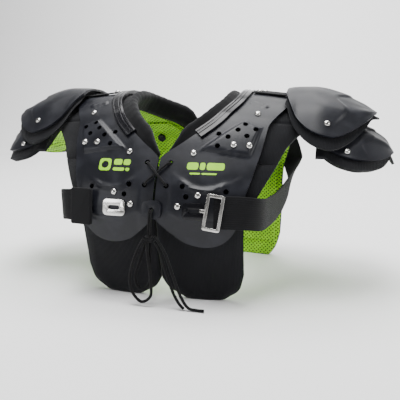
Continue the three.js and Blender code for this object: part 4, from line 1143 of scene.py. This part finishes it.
bpy.ops.object.select_all(action="DESELECT")
bpy.ops.mesh.primitive_uv_sphere_add(segments=24, ring_count=16, radius=RIVET_RADIUS * MM)
rivet_master = bpy.context.object
in_edit_mode(
    rivet_master,
    lambda: bpy.ops.mesh.bisect(plane_co=(0, 0, RIVET_CUT * MM), plane_no=(0, 0, 1), use_fill=True, clear_inner=True),
)
in_edit_mode(rivet_master, lambda: bpy.ops.transform.resize(value=(1, 1, RIVET_SQUASH), center_override=(0, 0, 0)))
select_faces(rivet_master, lambda face: face.normal.z < -0.9)
flange = {"value": (0, 0, -RIVET_FLANGE * MM)}
edit_selected(rivet_master, lambda: bpy.ops.mesh.extrude_region_move(TRANSFORM_OT_translate=flange))
low = points_of(rivet_master)[:, 2].min()
rivet_master.data.transform(Matrix.Translation((0, 0, -low)))
wear(smooth(rivet_master, 50), bright_metal)


for node, (across, down, lift) in SHELL_RIVETS.items():
    matrix = facing(*spot(across, down, 0.1 + lift * POD_HEIGHT))
    pair(copy_piece(rivet_master, node, matrix), node)
for node, (table, reach, out, across) in CAP_RIVETS.items():
    point, normal = cap_face(table, reach)
    at, way = point(np.array([out]), np.array([across])), normal(np.array([out]), np.array([across]))
    pair(copy_piece(rivet_master, node, facing(at[0] + way[0] * 0.2, way[0])), node)

# %% [markdown]
# ## Webbing
# Black webbing carries the caps over the shoulder and holds the chest shells to the back shells. A strap is an
# outline a couple of millimetres thick with round edges, swept along the strap's middle line, and turned so that it
# lies flat on the shell at its ends.


# %% Straps and cap bands
EDGE_POWER, FACE_POWER = 0.35, 0.6  # 1 would be an oval, and less is flatter with rounder edges
SELVEDGE_RAISE, SELVEDGE_AT, SELVEDGE_WIDTH = 0.12, 0.44, 0.05


def webbing_outline(width, thickness):
    """A flat outline with round edges, thickest just inside each edge as woven selvedges are."""

    def outline(angle):
        across, up = np.cos(angle), np.sin(angle)
        right = np.sign(across) * np.abs(across) ** EDGE_POWER * width / 2
        off = (np.abs(right) - width * SELVEDGE_AT) / (width * SELVEDGE_WIDTH)
        edge = 1 + SELVEDGE_RAISE * np.exp(-(off**2))
        return right, np.sign(up) * np.abs(up) ** FACE_POWER * thickness / 2 * edge

    return outline


def along_line(points, outs, count):
    """Stations for a sweep: smooth centres, and directions across and out of the strap."""
    line = smooth_curve(points, 30)
    share = walked(line) / walked(line)[-1]
    knots = np.linspace(0, 1, len(points))
    at = np.interp(np.linspace(0, 1, count), share, np.linspace(0, 1, len(line)))
    centres = np.stack([np.interp(at, np.linspace(0, 1, len(line)), line[:, i]) for i in range(3)], axis=1)
    tangent = unit(np.gradient(centres, axis=0))
    out = np.stack([np.interp(at, knots, np.array(outs)[:, i]) for i in range(3)], axis=1)
    out = unit(out - tangent * (out * tangent).sum(axis=1, keepdims=True))
    return centres, np.cross(tangent, out), out


STRAP_WIDTH, STRAP_WALL, STRAP_REST = 37, 2.2, 2.6
RING_SEAT, FOLD_SEAT, STRAP_CHEST = (0.466, 0.647), (0.605, 0.649), 0.66
STRAP_LINE = [
    (0.737, -0.895, 0.448, -55), (0.797, -0.785, 0.434, -28), (0.815, -0.42, 0.41, -4), (0.83, 0, 0.4, 0),
    (0.855, 0.3, 0.42, 8), (0.885, 0.55, 0.468, 18), (0.9, 0.72, 0.53, 38), (0.88, 0.79, 0.6, 62),
]  # fmt: skip
STRAP_BACK = [(0.81, -0.43), (0.745, -0.375)]
SLACK, SLACK_AT, SLACK_REACH = 0.08, -0.7, 0.4  # the right strap's bulge, and where along y it is


def side_strap(name, seat, slack):
    stations = [spot(across, seat[1], SEAT_GAP + STRAP_WALL / 2) for across in (seat[0], STRAP_CHEST)]
    for x, y, z, look in STRAP_LINE:
        bulge = slack * math.exp(-(((y - SLACK_AT) / SLACK_REACH) ** 2))
        point = np.array([(x + bulge) * SHOULDER_REACH, y * FRONT_REACH + ARCH_Y, z * ARCH_HEIGHT])
        stations.append((point, np.array([math.cos(math.radians(look)), math.sin(math.radians(look)), 0])))
    stations += [spot(across, down, STRAP_REST + STRAP_WALL / 2) for across, down in STRAP_BACK]
    centres, across, out = along_line([point for point, _ in stations], [way for _, way in stations], 170)
    piece = sweep(name, centres, across, out, webbing_outline(STRAP_WIDTH, STRAP_WALL))
    print(name, "is", round(walked(centres)[-1]), "mm long")
    return wear(smooth(piece, 50), strap_webbing)


strap_left = side_strap("strap_dressed_l", RING_SEAT, 0)
done(strap_left, ["strap_l"])
strap_twin = side_strap("strap_twin", FOLD_SEAT, SLACK)
done(mirrored(strap_twin, "strap_dressed_r"), ["strap_r"])
bpy.data.objects.remove(strap_twin)

BAND_HALF_WIDTH, BAND_ROOT, BAND_WALL = 0.072, 0.62, 2
BAND_FALL = [(0.63, 0.93), (0.675, 0.888), (0.723, 0.855)]
BAND_RIVETS = [(0.66, 0.03), (0.69, -0.03)]
BAND_SLANT = (0.45, 0, 0.9)  # the way the band faces where it falls to the lower cap
BAND_LIFT = (SEAT_GAP + LAYER_GAP) / 2 + BAND_WALL / 2

band_middle = BAND_HALF_WIDTH / 8
stations = [spot(across, band_middle, BAND_LIFT) for across in (BAND_ROOT, 0.81, 1)]
for out_share, rise in BAND_FALL:
    slant = unit(np.array(BAND_SLANT))
    point = np.array([out_share * LOWER_CAP_REACH, stations[2][0][1], rise * ARCH_HEIGHT]) + slant * BAND_WALL / 2
    stations.append((point, slant))
centres, across, out = along_line([point for point, _ in stations], [way for _, way in stations], 60)
cap_band = sweep("cap_band", centres, across, out, webbing_outline(STRAP_WIDTH, BAND_WALL))
wear(smooth(cap_band, 50), strap_webbing)
heads = [
    copy_piece(rivet_master, "band_head", facing(*spot(across, down, BAND_LIFT + BAND_WALL * 0.4)))
    for across, down in BAND_RIVETS
]
pair(joined([cap_band, *heads], "cap_band"), "cap_band")
bpy.data.objects.remove(rivet_master)

# %% [markdown]
# ## Buckle, chest plates, strap fold and lace tab
# The small fittings are flat and stand on the shell, and the CAD model already has their outlines and holes. A copy
# of the CAD mesh is cleaned up, its corners are rounded with a bevel, and it replaces the sharp-edged original.


# %% Round the small fittings
def rounded_copy(node, name, width, segments, material, angle=40):
    piece = copy_piece(frame["nodes"][node], name, Matrix())
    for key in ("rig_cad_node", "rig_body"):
        if key in piece:
            del piece[key]
    piece.parent = None
    in_edit_mode(
        piece,
        lambda: bpy.ops.mesh.remove_doubles(threshold=0.01 * MM),
        lambda: bpy.ops.mesh.dissolve_limited(angle_limit=math.radians(4)),
    )
    modify(piece, "BEVEL", width=width * MM, segments=segments, limit_method="ANGLE", angle_limit=math.radians(30))
    return done(wear(smooth(piece, angle), material), [node])


rounded_copy("buckle_ring", "buckle_frame", 0.85, 4, bright_metal)
rounded_copy("chest_plate_r", "slotted_plate_right", 0.5, 3, bright_metal)
rounded_copy("chest_plate_l", "slotted_plate_left", 0.5, 3, gloss_trim)
rounded_copy("strap_fold", "folded_strap_end", 1.6, 5, strap_webbing)
rounded_copy("lace_tab", "lace_tab_dressed", 0.7, 3, cap_plastic)

# %% [markdown]
# ## Laces
# One thin round lace closes the chest. It crosses between the shells, comes down through the tab, is knotted, and
# hangs in two loops and two loose tails whose tips lie on the ground. Each run is a tube swept along a smooth
# curve through the CAD model's own points, and the length of each hanging run is printed.

# %% Lay the laces
LACE, PULLED_LACE, STEM_LACE = 3.4, 2.9, 2.4  # thinner where it is pulled tight
KNOT_SIZE = (1.35, 1.0, 1.05)


def tube(name, points, diameter, count):
    line = smooth_curve(points, 24)
    at = np.linspace(0, walked(line)[-1], count)
    centres = np.stack([np.interp(at, walked(line), line[:, i]) for i in range(3)], axis=1)
    tangent = unit(np.gradient(centres, axis=0))
    side = np.cross(tangent[0], (0.0, 1.0, 0.2))
    sides = []
    for way in tangent:
        side = unit(side - way * (side @ way))
        sides.append(side)
    sides = np.array(sides)

    def round_outline(angle):
        return diameter / 2 * np.cos(angle), diameter / 2 * np.sin(angle)

    piece = sweep(name, centres, sides, np.cross(tangent, sides), round_outline)
    wear(smooth(piece, 60), lace_cord)
    return piece, centres


def lace_points(rows):
    return [(x * ARCH_HEIGHT, LACE_PLANE + ARCH_Y + behind * LACE, z * ARCH_HEIGHT) for x, z, behind in rows]


# (x, z) as shares of the arch's height, and how many laces behind the plane
FREE_LACE = {
    "lace_loop_outer": [
        (-0.0385, 0.325, 0), (-0.075, 0.26, 0), (-0.112, 0.125, 0), (-0.098, 0.062, 0), (-0.055, 0.022, 0),
        (-0.012, 0.05, 0), (-0.008, 0.13, 0), (-0.022, 0.262, 0), (-0.022, 0.3085, 0),
    ],
    "lace_loop_inner": [
        (-0.027, 0.319, 1.25), (-0.066, 0.215, 1.25), (-0.09, 0.13, 1.25), (-0.076, 0.086, 1.25),
        (-0.046, 0.078, 1.25), (-0.018, 0.12, 1.25), (-0.016, 0.2, 1.25), (-0.013, 0.306, 1.25),
    ],
    "lace_tail_short": [
        (0.0135, 0.3175, 0), (0.038, 0.272, 0), (0.068, 0.17, 0), (0.104, 0.072, 0), (0.128, 0.03, 0),
        (0.15, 0.0078, 0),
    ],
    "lace_tail_long": [
        (0.0145, 0.341, 0), (0.06, 0.27, 0), (0.1, 0.16, 0), (0.136, 0.066, 0), (0.172, 0.014, 0), (0.21, 0.0078, 0),
        (0.245, 0.0078, 0),
    ],
}  # fmt: skip

turns = np.linspace(0, 2 * math.pi, 48)
knot_line = np.stack(
    [np.sin(turns) + 2 * np.sin(2 * turns), -np.sin(3 * turns) * 1.3, np.cos(turns) - 2 * np.cos(2 * turns)], axis=1
)
knot_middle = np.array(lace_points([(-0.012, 0.329, 0)])[0])
lace_knot, _ = tube("lace_knot_dressed", knot_middle + knot_line * KNOT_SIZE, PULLED_LACE, 160)
done(lace_knot, ["lace_knot"])

for node, rows in FREE_LACE.items():
    piece, centres = tube(f"{node}_dressed", lace_points(rows), LACE, 120)
    done(piece, [node])
    length = walked(centres)[-1] * MM
    end = "object" if "loop" in node else "bare"
    print(node, "is", round(length / MM), "mm long")


# (share of the way across, lift), where a strand dips into its holes and rises between them
CROSS_LIFTS = [(0, -1.5), (0.06, 2.2), (0.2, 2.9), (0.5, 3.2), (0.8, 2.9), (0.94, 2.2), (1, -1.5)]
PASS_OVER, OVER, UNDER = 1.6, 0.62, -0.25


def cross_lace(name, start, end):
    """Two strands between the holes of the two shells, one passing over the other."""
    strands = []
    for way, over in ((1, OVER), (-1, UNDER)):
        points = []
        for share, lift in CROSS_LIFTS:
            lift += PASS_OVER * over if share == 0.5 else 0
            across = way * (-start[0] + (start[0] + end[0]) * share)
            points.append(spot(across, start[1] + (end[1] - start[1]) * share, lift)[0])
        strands.append(tube(name, points, PULLED_LACE, 60)[0])
    return joined(strands, name)


done(cross_lace("lace_front_dressed", *LACE_HOLES[:2]), ["lace_front"])
done(cross_lace("lace_back_dressed", *LACE_HOLES[2:]), ["lace_back"])

TAB_SEAT = (-0.01, 0.645)
STEM_LIFTS = [(0, 3.6), (0.004, 5.4), (0.02, 6.4)]  # (down from the tab, lift)
strands = []
for side in (-1, 1):
    points = [spot(TAB_SEAT[0], TAB_SEAT[1] + share, lift)[0] for share, lift in STEM_LIFTS]
    points = [point + (side * 1.3, 0, 0) for point in points]
    points.append(knot_middle + (side * 1.2, 0, 4))
    strands.append(tube("lace_stem", points, STEM_LACE, 30)[0])
done(joined(strands, "lace_stem_dressed"), ["lace_stem"])

# %% [markdown]
# ## Printed marks
# The chest carries plain lime-green marks: a ring beside two rows of blocks on one side, and two rows of blocks on
# the other. Each mark is a thin skin that follows the shell, a tenth of a millimetre proud, as thick ink is.


# %% Print the marks
POINTS_PER_MM = 2.2
INK, CORNER = 0.12, 0.2  # how proud the ink stands, and a corner's radius as a share of the shorter side


def print_mark(name, side, x0, x1, along0, along1, columns, rows, hole=None):
    piece, u, v, _ = grid(name, columns, rows)
    x, along = x0 + (x1 - x0) * u, along0 + (along1 - along0) * v
    down = along / FRONT_LENGTH
    place_points(piece, off_body(x, down, chest_relief(x, down) + INK), np.stack([x, along], axis=1))
    middle, corner = np.array([(x0 + x1) / 2, (along0 + along1) / 2]), min(x1 - x0, along1 - along0) * CORNER
    depth = np.minimum((x1 - x0) / 2 - np.abs(x - middle[0]), (along1 - along0) / 2 - np.abs(along - middle[1]))
    out_of = np.hypot(
        np.maximum(np.abs(x - middle[0]) - (x1 - x0) / 2 + corner, 0),
        np.maximum(np.abs(along - middle[1]) - (along1 - along0) / 2 + corner, 0),
    )
    gone = (out_of > corner) & (depth < corner)
    if hole:
        gone |= np.hypot(x - middle[0], along - middle[1]) < hole
    select_points(piece, gone)
    edit_selected(piece, lambda: bpy.ops.mesh.delete(type="VERT"))
    if piece.data.polygons[0].normal.y > 0:
        in_edit_mode(piece, bpy.ops.mesh.flip_normals)
    if side == "r":
        left = piece
        piece = mirrored(left, name)
        bpy.data.objects.remove(left)
    return done(wear(smooth(piece, 60), lime_print))


def print_row(name, side, x0, along0, height, widths, gap):
    """A row of blocks. widths are in millimetres, and the row runs outwards from x0."""
    for i, width in enumerate(widths):
        columns, rows = (max(8, round(size * POINTS_PER_MM)) for size in (width, height))
        print_mark(f"{name}_{i + 1}", side, x0, x0 + width, along0, along0 + height, columns, rows)
        x0 += width + gap


print_mark("mark_ring", "r", 60, 76, 152, 168, 44, 44, hole=4.4)
# (name, side, x0, along0, height, widths, gap), in millimetres from the middle plane and from the crown
MARK_ROWS = [
    ("mark_word", "r", 35, 152.5, 7.5, [9, 11], 1.6),
    ("mark_line", "r", 35, 163, 4.6, [5, 15], 1.6),
    ("mark_title", "l", 34, 154, 9, [13, 6, 20], 1.8),
    ("mark_note", "l", 38, 166.4, 2.4, [12, 17], 1.8),
]
for row in MARK_ROWS:
    print_row(*row)

# %% [markdown]
# ## Floor and light
# The photograph is a cut-out on white under even light, with soft streaks on the plastic from above. A large soft
# lamp over the front gives those streaks, two smaller ones fill the sides, and one lights the pale backdrop, which
# curves up behind the pads. The world itself is dim, so that black plastic stays black.

# %% Backdrop, lamps and world
bpy.ops.object.select_all(action="DESELECT")
bpy.ops.mesh.primitive_grid_add(x_subdivisions=4, y_subdivisions=60, size=1)
backdrop = bpy.context.object
backdrop.name = "backdrop"
FLOOR_FRONT, FLOOR_BACK, BEND, WALL_TOP = -2.5, 1.1, 0.9, 3.0
BACKDROP_WIDTH, FLOOR_CLEAR = 7, 0.0004
arc = BEND * math.pi / 2
length = FLOOR_BACK - FLOOR_FRONT + arc + WALL_TOP
for vertex in backdrop.data.vertices:
    walk = (vertex.co.y + 0.5) * length - (FLOOR_BACK - FLOOR_FRONT)
    angle = min(max(walk / BEND, 0), math.pi / 2)
    y = FLOOR_BACK + min(walk, 0) + BEND * math.sin(angle)
    vertex.co = (
        vertex.co.x * BACKDROP_WIDTH, y, BEND * (1 - math.cos(angle)) + max(walk - arc, 0) - FLOOR_CLEAR
    )
smooth(backdrop, 60)
backdrop_paint, tree, principled = new_material("backdrop_paint", Roughness=0.95, Specular_IOR_Level=0.0)
principled.inputs["Base Color"].default_value = colour(0.93, 0.93, 0.93)
backdrop.data.materials.append(backdrop_paint)


PADS_MIDDLE = (0, 0, 0.14)
# (name, place, watts, size, what it looks at), in metres
LAMPS = [
    ("top_lamp", (-0.1, -0.25, 1.5), 32, 0.8, PADS_MIDDLE),
    ("side_lamp", (1.7, -0.6, 1.0), 14, 0.7, PADS_MIDDLE),
    ("front_lamp", (-1.3, -1.5, 0.6), 9, 0.7, PADS_MIDDLE),
    ("backdrop_lamp", (0, 0.9, 1.9), 60, 1.6, (0, 1.9, 0.3)),
]
for name, place, power, size, target in LAMPS:
    bpy.ops.object.light_add(type="AREA", location=place)
    lamp = bpy.context.object
    lamp.name = name
    lamp.data.energy, lamp.data.size = power, size
    lamp.rotation_euler = (Vector(target) - Vector(place)).to_track_quat("-Z", "Y").to_euler()
world = bpy.data.worlds.new("dim_studio")
bpy.context.scene.world = world
world.use_nodes = True
world.node_tree.nodes["Background"].inputs["Color"].default_value = colour(1, 1, 1)
world.node_tree.nodes["Background"].inputs["Strength"].default_value = 0.3
